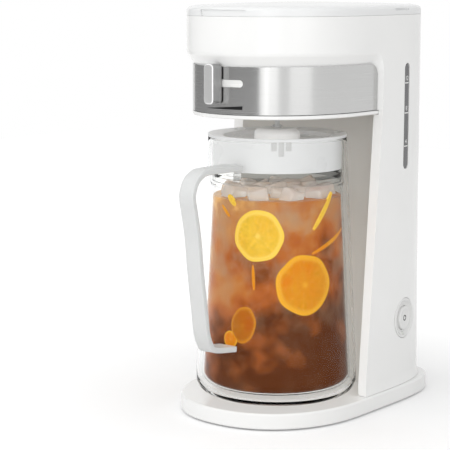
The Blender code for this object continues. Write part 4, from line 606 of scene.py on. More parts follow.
def smooth_path(points, spans):
    points = [Vector(p) for p in points]
    padded = [2 * points[0] - points[1], *points, 2 * points[-1] - points[-2]]
    path = []
    for i in range(1, len(padded) - 2):
        a, b, c, d = padded[i - 1:i + 3]
        for k in range(spans):
            t = k / spans
            path.append(0.5 * (2 * b + (c - a) * t + (2 * a - 5 * b + 4 * c - d) * t**2
                               + (3 * b - a - 3 * c + d) * t**3))
    return path + [points[-1]]


def scene_object(name, data):
    obj = bpy.data.objects.new(name, data)
    SCENE.collection.objects.link(obj)
    return obj


def rough_object(name, bm):
    mesh = bpy.data.meshes.new(name)
    bm.to_mesh(mesh)
    bm.free()
    return scene_object(name, mesh)


def cutter(bm):
    bmesh.ops.recalc_face_normals(bm, faces=bm.faces)
    obj = rough_object("cutter", bm)
    obj.hide_render = True
    return obj


def boolean(obj, other, operation="DIFFERENCE"):
    made = obj.modifiers.new(operation.title(), "BOOLEAN")
    made.operation = operation
    made.solver = "EXACT"
    made.object = other


def bevel(obj, width, segments=3, angle=40.0):
    made = obj.modifiers.new("Ease", "BEVEL")
    made.width = width
    made.segments = segments
    made.limit_method = "ANGLE"
    made.angle_limit = radians(angle)
    made.use_clamp_overlap = True


def shell(obj, thickness):
    made = obj.modifiers.new("Wall", "SOLIDIFY")
    made.thickness = thickness
    made.offset = -1
    made.use_even_offset = True
    return obj


def shaped_mesh(obj):
    graph = bpy.context.evaluated_depsgraph_get()
    return bpy.data.meshes.new_from_object(obj.evaluated_get(graph))


def apply_modifiers(obj):
    mesh, old = shaped_mesh(obj), obj.data
    obj.modifiers.clear()
    obj.data = mesh
    bpy.data.meshes.remove(old)


def hide_from(obj, *rays):
    for ray in rays:
        setattr(obj, "visible_" + ray, False)


def piece(obj, surface, body, nodes=(), sharp=32.0, weighted=True):
    """Applies the modifiers, puts the piece in the frame and lets it ride on its body."""
    if isinstance(obj, tuple):
        obj = rough_object(*obj)
    used = [m.object for m in obj.modifiers if m.type == "BOOLEAN"]
    if len(obj.modifiers):
        apply_modifiers(obj)
    for other in used:
        bpy.data.objects.remove(other, do_unlink=True)
    obj.data.transform(TO_FRAME)
    obj.data.materials.clear()
    obj.data.materials.append(surface)
    for face in obj.data.polygons:
        face.material_index = 0
    obj.data.shade_smooth()
    obj.data.set_sharp_from_angle(angle=radians(sharp))
    if weighted:
        obj.modifiers.new("Even shading", "WEIGHTED_NORMAL").keep_sharp = True
        apply_modifiers(obj)
    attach(obj, body)
    if nodes:
        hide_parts(*nodes)
    return obj


# Housing


def chamfer_column(outer, inner):
    """From the rim down the wall, over the eased chamfer and down the seat of the band."""
    outer, inner = Vector(outer), Vector(inner)
    slope = inner - outer
    above = outer + Vector((0, 0, CHAMFER_EASE))
    beyond = outer + slope.normalized() * min(CHAMFER_EASE, slope.length * 0.45)
    return [(*outer.xy, BODY_TOP), (*outer.xy, BODY_TOP - RIM_LINE), *bend(above, outer, beyond, 5),
            outer + slope * 0.93, inner, (*inner.xy, HEAD_BOTTOM)]


def housing_half():
    bm = bmesh.new()

    def column(points):
        return [bm.verts.new(p) for p in points]

    seat = shrink(HEAD_PLAN, SEAT_INSET)
    columns = []
    for angle in quarter(FRONT_STEPS):
        outer, inner = plan_point(HEAD_PLAN, angle), plan_point(seat, angle)
        columns.append(column(chamfer_column((*outer, CHAMFER_TOP), (*inner, CHAMFER_BOTTOM))))
    corner_y, corner_z = BAND_END_Y - BAND_CORNER, CHAMFER_BOTTOM - BAND_CORNER
    for turn in quarter(CORNER_STEPS):
        outer_y = corner_y + (BAND_CORNER + BAND_STEP) * sin(turn)
        outer_z = corner_z + (CHAMFER_TOP - corner_z) * cos(turn)
        inner_y = corner_y + BAND_CORNER * sin(turn)
        inner_z = corner_z + BAND_CORNER * cos(turn)
        columns.append(column(chamfer_column((wall_x(HEAD_PLAN, outer_y), outer_y, outer_z),
                                             (wall_x(seat, inner_y), inner_y, inner_z))))
    join_rows(bm, columns)

    levels = tower_levels()
    heights = [HEAD_BOTTOM, *levels]
    edge = [*columns[-1][:3], *column((wall_x(tower_plan(z), edge_y(z)), edge_y(z), z) for z in heights)]
    bm.faces.new((*columns[-1][2:], edge[3]))
    upper = (BODY_TOP, BODY_TOP - RIM_LINE, columns[-1][2].co.z)
    start = angle_at(HEAD_PLAN, columns[-1][0].co.y)
    rows = [edge]
    for step in shares(REAR_STEPS)[1:]:
        share = step**HOUSING_SPACING
        points = [(*plan_point(HEAD_PLAN, between(start, pi, share)), z) for z in upper]
        for z in heights:
            plan = tower_plan(z)
            points.append((*plan_point(plan, between(angle_at(plan, edge_y(z)), pi, share)), z))
        if step == 1:
            points = [(0, y, z) for _, y, z in points]
        rows.append(column(points))
    join_rows(bm, rows)
    join_rows(bm, [column((*strip_edge(z), z) for z in levels), edge[4:]])
    # The end of the lip under the band runs into the tower's front edge
    end_y = edge[4].co.y
    end_x = wall_x(shrink(HEAD_PLAN, BAND_INSET - 2 * CLEARANCE), end_y)
    low_end, high_end = (bm.verts.new((end_x, end_y, edge[k].co.z)) for k in (4, 3))
    bm.faces.new((edge[3], edge[4], low_end, high_end))
    turn_out(bm, from_centre)
    return bm


def mirrored_shell(name, bm, thickness):
    obj = rough_object(name, bm)
    mirror = obj.modifiers.new("Both sides", "MIRROR")
    mirror.merge_threshold = 0.00005
    mirror.use_clip = True
    return shell(obj, thickness)


def gland_frame():
    plan = tower_plan(GLAND_Z)

    def rear_y(x):
        share = (x / plan.half_width) ** plan.rear_power
        return plan.centre + plan.rear * (1 - share) ** (1 / plan.rear_power)

    run = (-2 * WALL, rear_y(GLAND_X - WALL) - rear_y(GLAND_X + WALL), 0)
    return outward_frame((GLAND_X, rear_y(GLAND_X), GLAND_Z), run)


def stem_slot(height, margin):
    width = SLOT_RIGHT - SLOT_LEFT + 2 * margin
    centre = Matrix.Translation(((SLOT_LEFT + SLOT_RIGHT) / 2, 0, SLOT_CENTRE_Z))
    upright = centre @ Matrix.Rotation(pi / 2, 4, "X") @ Matrix.Rotation(pi / 2, 4, "Z")
    front_y = PLAN_CENTRE_Y - HEAD_FRONT
    return cutter(prism(stadium(width, height), -front_y - 5 * OVERRUN, -front_y + OVERRUN, upright))


def plug(radius, low_z, high_z, steps=SMALL_STEPS, matrix=Matrix()):
    """A round cutter."""
    return cutter(turned([(0, high_z), (radius, high_z), (radius, low_z), (0, low_z)], steps, matrix))


def barrel(half_from, half_to, web_low, web_high):
    """One barrel of the lid's hinge, with the web that joins it to its wall."""
    axis = Matrix.Translation((0, HINGE_Y, HINGE_Z)) @ Matrix.Rotation(pi / 2, 4, "Y")
    bore = PIN_RADIUS + CLEARANCE
    ring = [(BARREL_RADIUS, half_to), (BARREL_RADIUS, half_from), (bore, half_from), (bore, half_to)]
    bm = turned(eased(ring, 0.0004), SMALL_STEPS, axis)
    web = bmesh.new()
    box(web, (half_from, HINGE_Y - HINGE_OFFSET - WALL / 2, web_low),
        (half_to, HINGE_Y - BARREL_RADIUS * 0.8, web_high))
    ease_edges(web, web.edges[:], 0.0003, 2)
    mesh = bpy.data.meshes.new("web")
    web.to_mesh(mesh)
    web.free()
    bm.from_mesh(mesh)
    bpy.data.meshes.remove(mesh)
    return bm


def make_housing():
    obj = mirrored_shell("housing_skin", housing_half(), WALL)
    bevel(obj, 0.0010, 3, 55.0)
    opening = stadium(WINDOW_LENGTH + 2 * CLEARANCE, WINDOW_WIDTH + 2 * CLEARANCE)
    boolean(obj, cutter(prism(opening, -WALL - OVERRUN, OVERRUN, wall_frame(WINDOW_Y, WINDOW_CENTRE_Z))))
    boolean(obj, plug(BEZEL_RADIUS + CLEARANCE, -WALL - OVERRUN, OVERRUN, ROUND_STEPS,
                      wall_frame(BUTTON_Y, BUTTON_Z)))
    boolean(obj, plug(GLAND_NECK_RADIUS + CLEARANCE, -OVERRUN - 2 * WALL, OVERRUN, matrix=gland_frame()))
    boolean(obj, stem_slot(STEM_HEIGHT + STEM_PLAY, CLEARANCE))
    piece(obj, WHITE, "housing", ["body_shell"])
    near = LID_BARREL_HALF + CLEARANCE
    far = near + EAR_LENGTH
    for name, ends in (("hinge_ear_left", (-far, -near)), ("hinge_ear_right", (near, far))):
        bm = barrel(*ends, HINGE_Z - BARREL_RADIUS - HINGE_WEB, BODY_TOP - CLEARANCE)
        piece((name, bm), WHITE, "housing")


def make_front_panel():
    bm = bmesh.new()
    join_rows(bm, [[bm.verts.new((x, y, z)) for x, y in panel_line(z, CLEARANCE)] for z in tower_levels()])
    turn_out(bm, lambda face: -face.normal.y)
    obj = shell(rough_object("hollow_panel", bm), PANEL_THICKNESS)
    bevel(obj, 0.0004, 2, 55.0)
    piece(obj, GREY, "housing", ["column_front_panel"])


def make_head_floor():
    edge, low_z = BAND_INSET - CLEARANCE, FLOOR_BOTTOM
    top = low_z + FLOOR_THICKNESS
    levels = [(low_z, LIP_ROUND + 0.0100), (low_z, LIP_ROUND + 0.0002)]
    levels += [(low_z + LIP_ROUND * (1 - cos(t)), LIP_ROUND * (1 - sin(t))) for t in quarter(5)]
    levels += [(top - 0.0006, 0.0), (top - 0.0002, 0.0001), (top, 0.0005), (top, 0.0100)]
    obj = rough_object("head_underside", loft([head_ring(edge + more, z) for z, more in levels]))
    level = tower_levels()[0]
    front = strip_edge(level)[1]
    side, back = HEAD_HALF_WIDTH + OVERRUN, PLAN_CENTRE_Y + HEAD_REAR + OVERRUN
    behind = [(-side, front), *panel_line(level, 0), (side, front), (side, back), (-side, back)]
    boolean(obj, cutter(prism(behind, low_z - OVERRUN, top + OVERRUN)))
    boolean(obj, plug(NOZZLE_HOLE_RADIUS, low_z - OVERRUN, top + OVERRUN))
    piece(obj, LIP, "housing", ["head_floor"])
    outer, inner = SEAT_RING_RADIUS, SEAT_RING_RADIUS - SEAT_RING_WALL
    high_z, low_z = SEAT_RING_TOP - CLEARANCE, top - 0.001
    ring = eased([(outer, high_z), (outer, low_z), (inner, low_z), (inner, high_z)], 0.0004)
    piece(("basket_seat_ring", turned(ring)), PALE, "housing")


def make_band():
    bm = bmesh.new()
    plan = shrink(HEAD_PLAN, BAND_INSET)
    top, low_z = CHAMFER_BOTTOM - CLEARANCE, HEAD_BOTTOM + CLEARANCE
    columns = [[(*plan_point(plan, angle), z) for z in (top, low_z)] for angle in quarter(FRONT_STEPS * 2)]
    corner = BAND_CORNER - CLEARANCE
    for turn in quarter(CORNER_STEPS):
        y = BAND_END_Y - BAND_CORNER + corner * sin(turn)
        columns.append([(wall_x(plan, y), y, z) for z in (top - corner + corner * cos(turn), low_z)])
    join_rows(bm, [[bm.verts.new(p) for p in points] for points in columns])
    turn_out(bm, from_centre)
    obj = mirrored_shell("steel_band", bm, BAND_THICKNESS)
    boolean(obj, stem_slot(SLOT_HEIGHT, SLOT_MARGIN))
    bevel(obj, 0.00022, 2, 50.0)
    piece(obj, BAND_STEEL, "housing", ["control_band"])


# Strength scale and knob


def knob_path():
    """The arc that the knob runs along, through the middle and the ends of its slot: centre and radius."""
    plan = shrink(HEAD_PLAN, BAND_INSET)
    half = (SLOT_RIGHT - SLOT_LEFT) / 2
    x, y = plan_point(plan, asin((half / plan.half_width) ** (plan.front_power / 2)))
    front = plan.centre - plan.front
    radius = (x**2 + (y - front) ** 2) / (2 * (y - front))
    return front + radius, radius


def on_band(x, z, out=0.0):
    """A point on the band's face, or a little in front of it."""
    plan = shrink(HEAD_PLAN, BAND_INSET - out)
    share = abs(x) / plan.half_width
    y = plan.centre - plan.front * (1 - share**plan.front_power) ** (1 / plan.front_power)
    return Vector((x, y, z))


def make_scale_and_lips():
    # Soft lips that close the slot behind the band, as on a real slider
    radius = SLOT_HEIGHT / 2 - 0.0001
    left, right = SLOT_LEFT - SLOT_MARGIN, SLOT_RIGHT + SLOT_MARGIN
    for side, name in ((1, "slot_lip_upper"), (-1, "slot_lip_lower")):
        rings = []
        for x in spaced(left + 0.0003, right - 0.0003, 48):
            end = min(x - left, right - x)
            half = sqrt(max(0.0, radius**2 - max(0.0, radius - end) ** 2))
            inner, outer = SLOT_CENTRE_Z, SLOT_CENTRE_Z + side * max(half, 0.0004)
            section = ((inner, 0.0006), ((inner + outer) / 2, 0.0002), (outer, 0.0004), (outer, 0.0011),
                       (inner, 0.0011))
            rings.append([on_band(x, z, -depth) for z, depth in section])
        piece((name, loft(rings)), SEAL, "housing", sharp=60.0)
    # A wedge that thickens towards strong
    rings = []
    for x, z in zip(spaced(*WEDGE_ENDS, 32), spaced(*WEDGE_TOPS, 32)):
        section = ((WEDGE_BOTTOM, 0.00006), (z, 0.00006), (z, -0.0003), (WEDGE_BOTTOM, -0.0003))
        rings.append([on_band(x, height, out) for height, out in section])
    piece(("strength_wedge", loft(rings)), PRINT, "housing")


def make_knob():
    centre, radius = knob_path()
    place = Matrix.Translation((0, centre, 0)) @ Matrix.Rotation(KNOB_ANGLE, 4, "Z")
    back = -(radius + KNOB_GAP)
    bm = bmesh.new()
    box(bm, (-KNOB_WIDTH / 2, back - KNOB_DEPTH, KNOB_BOTTOM),
        (KNOB_WIDTH / 2, back, KNOB_BOTTOM + KNOB_HEIGHT))
    corners = [edge for edge in bm.edges if abs((edge.verts[0].co - edge.verts[1].co).normalized().y) > 0.9]
    ease_edges(bm, corners, KNOB_CORNER, 8)
    rims = [edge for edge in bm.edges if abs((edge.verts[0].co - edge.verts[1].co).y) < 0.00001]
    ease_edges(bm, rims, KNOB_RIM, 3)
    bmesh.ops.transform(bm, matrix=place, verts=bm.verts)
    obj = rough_object("knob_grip", bm)
    hole = bmesh.new()
    across, up = STEM_WIDTH / 2 + CLEARANCE, STEM_HEIGHT / 2 + CLEARANCE
    box(hole, (-across, back - KNOB_SOCKET, SLOT_CENTRE_Z - up),
        (across, back + OVERRUN, SLOT_CENTRE_Z + up), place)
    boolean(obj, cutter(hole))
    made = piece(obj, KNOB_STEEL, "strength_knob", ["strength_knob"])
    # Painted light: the front face takes the lighter, less metallic copy of the knob's steel
    for surface in (KNOB_FACE_PAINTED_LIGHT, KNOB_EDGE_PAINTED_HIGHLIGHT):
        made.data.materials.append(surface)
    # Painted highlight: the rounded rims that turn partly towards the front take the near-white colour
    outward = (TO_FRAME @ place).to_3x3() @ Vector((0, -1, 0))
    for face in made.data.polygons:
        facing = face.normal.dot(outward)
        face.material_index = 1 if facing > 0.97 else 2 if facing > 0.20 else 0


# Lid


def make_lid():
    edge_z = LID_BOTTOM + LID_EDGE_HEIGHT
    round_height = LID_EDGE_HEIGHT - LID_SIDE_HEIGHT
    outline = head_ring(LID_EDGE_INSET, 0)

    def crown(share, drop):
        z = between(TOTAL_HEIGHT, edge_z, share**2) - drop
        return [(x * share, LID_CROWN_Y + (y - LID_CROWN_Y) * share, z) for x, y, _ in outline]

    start = LID_BOTTOM - CLEARANCE * 0.6
    inward = shares(12)[-2:0:-1]
    rings = [head_ring(0.0002, start), head_ring(0.00005, start + 0.0001), head_ring(0.0, start + 0.0005)]
    rings += [head_ring(LID_EDGE_INSET * (1 - cos(turn)), start + LID_SIDE_HEIGHT + round_height * sin(turn))
              for turn in quarter(9)[:-1]]
    rings += [head_ring(LID_EDGE_INSET, edge_z), *[crown(share, 0.0) for share in inward]]
    rings.append([(0, LID_CROWN_Y, TOTAL_HEIGHT)])
    inner = [head_ring(LID_WALL, start), head_ring(LID_WALL, start + LID_SIDE_HEIGHT),
             head_ring(LID_EDGE_INSET, edge_z - LID_WALL), *[crown(share, LID_WALL) for share in inward],
             [(0, LID_CROWN_Y, TOTAL_HEIGHT - LID_WALL)]]
    obj = rough_object("lid_skin", loft(inner[::-1] + rings))

    front_y = PLAN_CENTRE_Y - HEAD_FRONT
    low_half, high_half = RECESS_BOTTOM_HALF, RECESS_TOP_HALF
    trapezoid = [(-low_half, start - OVERRUN), (low_half, start - OVERRUN), (high_half, RECESS_TOP),
                 (-high_half, RECESS_TOP)]
    upright = Matrix.Rotation(pi / 2, 4, "X")
    bm = prism(eased(trapezoid, 0.0016, 6), -front_y - 3 * OVERRUN, -front_y + OVERRUN, upright)
    recess = rough_object("recess", bm)
    recess.hide_render = True
    back = cutter(loft([head_ring(RECESS_DEPTH, start - 2 * OVERRUN), head_ring(RECESS_DEPTH, TOTAL_HEIGHT)]))
    boolean(recess, back)
    vents = bmesh.new()
    for side in (-1, 1):
        middle = side * wall_x(shrink(HEAD_PLAN, RECESS_DEPTH), (VENT_FRONT_Y + VENT_REAR_Y) / 2)
        left, right = sorted((middle, side * (HEAD_HALF_WIDTH + OVERRUN)))
        box(vents, (left, VENT_FRONT_Y, RECESS_TOP - VENT_HEIGHT), (right, VENT_REAR_Y, RECESS_TOP))
    boolean(obj, recess)
    boolean(obj, cutter(vents))
    piece(obj, LID_WHITE, "top_lid", ["top_lid"])
    bpy.data.objects.remove(back, do_unlink=True)
    bm = barrel(-LID_BARREL_HALF, LID_BARREL_HALF, LID_BOTTOM + CLEARANCE, LID_BOTTOM + HINGE_WEB)
    piece(("lid_knuckle", bm), LID_WHITE, "top_lid")


# Base


def make_base():
    inner_top = BASE_TOP - BASE_WALL
    arc = quarter(5)
    levels = [(BASE_WALL + 0.012, inner_top), (BASE_WALL, inner_top), (BASE_WALL, BASE_RIM),
              (BASE_ROUND / 2, BASE_RIM)]
    levels += [(BASE_ROUND / 2 * (1 - sin(t)), BASE_RIM + BASE_ROUND * (1 - cos(t))) for t in arc[1:]]
    levels += [(BASE_ROUND * (1 - cos(t)), BASE_TOP - BASE_ROUND * (1 - sin(t))) for t in arc]
    levels.append((BASE_ROUND + 0.010, BASE_TOP))
    bm = loft([plan_ring(shrink(BASE_PLAN, inset), z) for inset, z in levels])
    piece(("base_skin", bm), WHITE, "housing", ["base_cover"])


# Window and button


def make_number(text, matrix):
    name = "window_number_" + text
    curve = bpy.data.curves.new(name, "FONT")
    curve.body = text
    curve.size = NUMBER_SIZE
    curve.extrude = 0.00004
    curve.align_x = "CENTER"
    curve.align_y = "CENTER"
    obj = scene_object(name, curve)
    mesh = shaped_mesh(obj)
    mesh.transform(TO_FRAME @ matrix)
    bpy.data.objects.remove(obj, do_unlink=True)
    mesh.materials.clear()
    mesh.materials.append(MARKS)
    made = scene_object(name, mesh)
    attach(made, "housing")


def make_window():
    place = wall_frame(WINDOW_Y, WINDOW_CENTRE_Z)
    back = -WALL - 2 * CLEARANCE
    lens = stadium(WINDOW_LENGTH, WINDOW_WIDTH)
    flange = stadium(WINDOW_LENGTH + 2 * WINDOW_FLANGE, WINDOW_WIDTH + 2 * WINDOW_FLANGE)
    obj = rough_object("window_lens", prism(lens, back - 0.0005, -0.0004, place, 0.0008))
    boolean(obj, cutter(prism(flange, back - 0.0010, back, place)), "UNION")
    piece(obj, WINDOW_SMOKE, "housing", ["water_window"])
    ticks = bmesh.new()
    for z, _ in WINDOW_MARKS:
        up = z - WINDOW_CENTRE_Z
        box(ticks, (-0.0034, up - 0.0005, -0.00042), (0.0034, up + 0.0005, -0.00030), place)
    piece(("window_ticks", ticks), MARKS, "housing")
    for z, text in WINDOW_MARKS:
        make_number(text, place @ Matrix.Translation((0.0, z - WINDOW_CENTRE_Z + 0.0040, -0.00036)))


def make_button():
    place = wall_frame(BUTTON_Y, BUTTON_Z)
    bore = BUTTON_RADIUS + CLEARANCE
    tube = bore + BEZEL_TUBE_WALL
    rim_in = BEZEL_RADIUS - BEZEL_TUBE_WALL
    floor = -BEZEL_DISH - BEZEL_TUBE_WALL
    sink = BEZEL_DISH * 0.72 + CLEARANCE
    dish = [(between(rim_in, tube, share), CLEARANCE - sink * sin(share * pi / 2)) for share in shares(10)]
    profile = [(bore, -BEZEL_TUBE_LENGTH), (bore, -BEZEL_DISH * 0.5 - 0.0002),
               (bore + 0.0003, -BEZEL_DISH * 0.5), (tube - 0.0004, -BEZEL_DISH * 0.55), *dish[::-1],
               (BEZEL_RADIUS - 0.0004, CLEARANCE * 0.8), (BEZEL_RADIUS, -0.0003),
               (BEZEL_RADIUS, -BEZEL_DISH), (tube, floor), (tube, -BEZEL_TUBE_LENGTH)]
    obj = rough_object("button_dish", turned(profile, matrix=place))
    light_place = place @ Matrix.Translation((0, -LIGHT_OFFSET, 0))
    boolean(obj, plug(LIGHT_RADIUS + CLEARANCE, -BEZEL_TUBE_LENGTH, OVERRUN, matrix=light_place))
    piece(obj, WARM_WHITE, "housing", ["button_bezel"])

    top = BUTTON_PROUD
    face = [(BUTTON_RADIUS * share, top - drop) for share, drop in BUTTON_FACE]
    face += [(BUTTON_RADIUS, floor), (BUTTON_STEM_RADIUS, floor), (BUTTON_STEM_RADIUS, -BEZEL_TUBE_LENGTH),
             (0, -BEZEL_TUBE_LENGTH)]
    piece(("button_cap", turned(face, matrix=place)), WARM_WHITE, "power_button", ["power_button"])
    # A plain ring moulded and printed at the centre of the cap
    inner, outer = RING_MARK_RADII
    ring = [(outer, top - 0.00049), (outer, top - 0.00070), (inner, top - 0.00070), (inner, top - 0.00049)]
    piece(("button_ring_mark", turned(eased(ring, 0.00005, 2), SMALL_STEPS, place)), PRINT, "power_button")
    low_z = -BEZEL_TUBE_LENGTH * 0.5
    lens = [(0, -BEZEL_DISH * 0.35), (LIGHT_RADIUS, -BEZEL_DISH * 0.45), (LIGHT_RADIUS, low_z), (0, low_z)]
    piece(("lamp_lens", turned(eased(lens, 0.0003, 4, False), SMALL_STEPS, light_place)), LAMP, "housing",
          ["power_light"])


# Pitcher


def spouted(radius, angle, z):
    turn = abs(remainder(angle - pi / 2, tau)) / SPOUT_HALF_ANGLE
    if turn >= 1:
        return radius
    rise = min(1.0, max(0.0, (z - (PITCHER_TOP - SPOUT_DROP)) / SPOUT_DROP))
    return radius + SPOUT_REACH * rise**2 * cos(turn * pi / 2) ** 2


def outer_radius(z):
    share = (z - PITCHER_FOOT_Z) / (PITCHER_TOP - PITCHER_FOOT_Z)
    return between(PITCHER_FOOT_RADIUS, PITCHER_TOP_RADIUS, share)


def inner_radius(z):
    """Inside of the vessel between its floor and its neck."""
    low_z = VESSEL_FLOOR + VESSEL_CORNER
    if z < low_z:
        depth = (low_z - z) / VESSEL_CORNER
        return VESSEL_FOOT_RADIUS - VESSEL_CORNER * (1 - sqrt(max(0.0, 1 - depth**2)))
    share = (z - low_z) / (VESSEL_SHOULDER_Z - 2 * VESSEL_WALL - low_z)
    return between(VESSEL_FOOT_RADIUS, VESSEL_NECK_RADIUS, share)


def round_foot(radius, floor, corner, steps):
    """The round between a floor and a side, from the floor up."""
    return [(radius - corner * (1 - cos(a)), floor + corner * (1 - sin(a))) for a in quarter(steps)[::-1]]


def make_pitcher_walls():
    seat, wall = PITCHER_SEAT, PITCHER_WALL
    corner = (PITCHER_FOOT_Z - seat) * 0.62
    spout_low = PITCHER_TOP - SPOUT_DROP
    levels = spaced(PITCHER_FOOT_Z, spout_low, 8)[:-1] + spaced(spout_low, PITCHER_TOP - 0.0006, 8)
    outside = round_foot(PITCHER_FOOT_RADIUS, seat, corner, 9)[:-1]
    inside = round_foot(PITCHER_FOOT_RADIUS - wall, seat + wall * 2, corner, 9)[:-1]
    recess, recess_z, edge = outside[0][0] - wall, seat + PITCHER_FOOT_RECESS, outer_radius(PITCHER_TOP)
    profile = [(0, recess_z), (recess - PITCHER_FOOT_RECESS, recess_z), (recess, seat), *outside,
               *[(outer_radius(z), z) for z in levels], (edge - 0.0004, PITCHER_TOP),
               (edge - wall + 0.0004, PITCHER_TOP), *[(outer_radius(z) - wall, z) for z in levels[::-1]],
               *inside[::-1], (0, seat + wall * 2)]
    outer = piece(("pitcher_glass_outer", turned(profile, reach=spouted)), OUTER_WALL, "pitcher",
                  ["pitcher_outer_wall"], sharp=50.0)

    wall, floor, corner = VESSEL_WALL, VESSEL_FLOOR, VESSEL_CORNER
    rim_low = PITCHER_TOP + CLEARANCE
    rim_top = rim_low + VESSEL_FLANGE
    shoulder, neck_z = VESSEL_SHOULDER_Z, VESSEL_SHOULDER_Z - 2 * wall
    mouth, neck = VESSEL_MOUTH_RADIUS, VESSEL_NECK_RADIUS
    low_step, high_step = between(neck, mouth, 0.2), between(neck, mouth, 0.8)
    levels = spaced(spout_low, PITCHER_TOP, 8)[:-1]
    profile = [(0, floor), *round_foot(VESSEL_FOOT_RADIUS, floor, corner, 8), (neck, neck_z),
               (low_step, neck_z + 0.0008), (high_step, shoulder - 0.0012), (mouth, shoulder - wall / 4),
               *[(mouth, z) for z in levels], (mouth, rim_top - 0.0003), (mouth + 0.0003, rim_top),
               (edge - 0.0003, rim_top), (edge, rim_top - 0.0003), (edge, rim_low), (mouth + wall, rim_low),
               *[(mouth + wall, z) for z in levels[::-1]], (mouth + wall, shoulder),
               (high_step + wall, shoulder - 0.0016), (low_step + wall, neck_z - wall + 0.0006),
               (neck + wall, neck_z - wall),
               *round_foot(VESSEL_FOOT_RADIUS + wall, floor - wall, corner + wall, 8)[::-1],
               (0, floor - wall)]
    vessel = piece(("pitcher_glass_inner", turned(profile, reach=spouted)), VESSEL, "pitcher",
                   ["pitcher_inner_wall"], sharp=50.0)
    for obj in (outer, vessel):
        hide_from(obj, "shadow", "diffuse")


def make_handle():
    points = [(share * HANDLE_REACH, between(HANDLE_FOOT, HANDLE_TOP, rise)) for share, rise in HANDLE_SHARES]
    for end in (0, -1):
        points[end] = (outer_radius(points[end][1]) + CLEARANCE, points[end][1])
    path = smooth_path([(0, -reach, z) for reach, z in points], 6)
    last, thick = len(path) - 1, HANDLE_THICKNESS
    rings = []
    for i, point in enumerate(path):
        along = (path[min(i + 1, last)] - path[max(i - 1, 0)]).normalized()
        inward = Vector((0, -along.z, along.y))
        root = max(0.0, 1 - min(i, last - i) / 9)
        half = HANDLE_WIDTH / 2 + HANDLE_FLARE * root**2
        ring = []
        for x, deep in eased([(-half, 0), (half, 0), (half, thick), (-half, thick)], 0.0012, 4):
            crown = HANDLE_CROWN * (1 - (x / half) ** 2) if deep < thick / 2 else 0.0
            ring.append(point + inward * max(0.0, deep - crown) + Vector((x, 0, 0)))
        rings.append(ring)
    piece(("strap_handle", loft(rings)), FROST, "pitcher", ["pitcher_handle"], sharp=50.0)


def strainer_cutter():
    slots = bmesh.new()
    for i, share in enumerate(STRAINER_SHARES):
        turn = Matrix.Rotation(STRAINER_ANGLE + STRAINER_STEP * (i - 1), 4, "Z")
        out = turn @ Vector((1, 0, 0))
        low_z = STRAINER_TOP - STRAINER_LENGTH * share
        verts = box(slots, (SKIRT_RADIUS - STRAINER_DEPTH, -STRAINER_WIDTH / 2, low_z),
                    (SKIRT_RADIUS + OVERRUN, STRAINER_WIDTH / 2, RIM_BOTTOM - 0.0004), turn)
        edges = [e for e in slots.edges if e.verts[0] in verts and e.verts[1] in verts
                 and abs((e.verts[0].co - e.verts[1].co).normalized().dot(out)) > 0.9]
        ease_edges(slots, edges, 0.0009, 3)
    return cutter(slots)


def make_pitcher_lid():
    rim_in = RIM_RADIUS - RIM_BREADTH
    skirt, skirt_in, groove = SKIRT_RADIUS, SKIRT_RADIUS - SKIRT_WALL, SKIRT_RADIUS - SEAL_DEPTH
    seal_low, seal_high = SEAL_Z - SEAL_HEIGHT / 2, SEAL_Z + SEAL_HEIGHT / 2
    bore, dish_low = CAP_NECK_RADIUS + CLEARANCE, DISH_TOP - DISH_THICKNESS
    profile = [(rim_in - 0.0004, RIM_TOP - 0.0030), (rim_in + 0.0006, RIM_TOP - 0.0018),
               (RIM_RADIUS - RIM_WIDTH, RIM_TOP - 0.0005), (RIM_RADIUS - 0.0008, RIM_TOP),
               (RIM_RADIUS, RIM_TOP - 0.0008), (RIM_RADIUS, RIM_BOTTOM), (skirt, RIM_BOTTOM),
               (skirt, SKIRT_SPLIT), (skirt, seal_high), (groove, seal_high), (groove, seal_low),
               (skirt, seal_low),
               (skirt, SKIRT_BOTTOM), (skirt_in, SKIRT_BOTTOM), (skirt_in, SKIRT_SPLIT), (skirt_in, dish_low),
               (bore, dish_low), (bore, DISH_TOP), (rim_in - 0.0026, DISH_TOP)]
    obj = rough_object("pitcher_cover", turned(eased(profile, 0.00035)))
    boolean(obj, strainer_cutter())
    cover = piece(obj, PITCHER_WHITE, "pitcher_lid", ["pitcher_lid"])
    hide_from(cover, "shadow", "diffuse")
    # The lower part of the skirt is clear, and the straining slots are in shade
    for surface in (VESSEL, SLOT_SHADE):
        cover.data.materials.append(surface)
    for face in cover.data.polygons:
        reach = hypot(face.center.x, face.center.y - AXIS_Y)
        if face.center.z < SKIRT_SPLIT and reach > skirt_in - WALL:
            face.material_index = 1
        elif face.center.z < RIM_BOTTOM and skirt_in + 0.0004 < reach < skirt - 0.0004:
            face.material_index = 2

    top, wall, round_off = CAP_TOP, CAP_WALL, CAP_SHOULDER
    cap = [(CAP_HOLE_RADIUS, top), (CAP_RADIUS - round_off, top)]
    cap += [(CAP_RADIUS - round_off * (1 - sin(t)), top - round_off * (1 - cos(t))) for t in quarter(6)[1:]]
    cap += [(CAP_RADIUS, DISH_TOP + CLEARANCE), (CAP_NECK_RADIUS, DISH_TOP + CLEARANCE),
            (CAP_NECK_RADIUS, CAP_NECK_BOTTOM), (CAP_NECK_RADIUS - wall, CAP_NECK_BOTTOM),
            (CAP_NECK_RADIUS - wall, top - round_off), (CAP_RADIUS - round_off - wall, top - wall),
            (CAP_HOLE_RADIUS, top - wall)]
    piece(("pitcher_cap", turned(eased(cap, 0.0003, 2))), LIP, "pitcher_lid", ["drip_cap"])
    low_z, high_z = seal_low + CLEARANCE, seal_high - CLEARANCE
    outer, inner = skirt + CLEARANCE / 3, groove + CLEARANCE
    seal = eased([(outer, high_z), (outer, low_z), (inner, low_z), (inner, high_z)], 0.0005)
    piece(("pitcher_seal", turned(seal)), VESSEL, "pitcher_lid", ["lid_seal"])


# Tea, fruit and ice

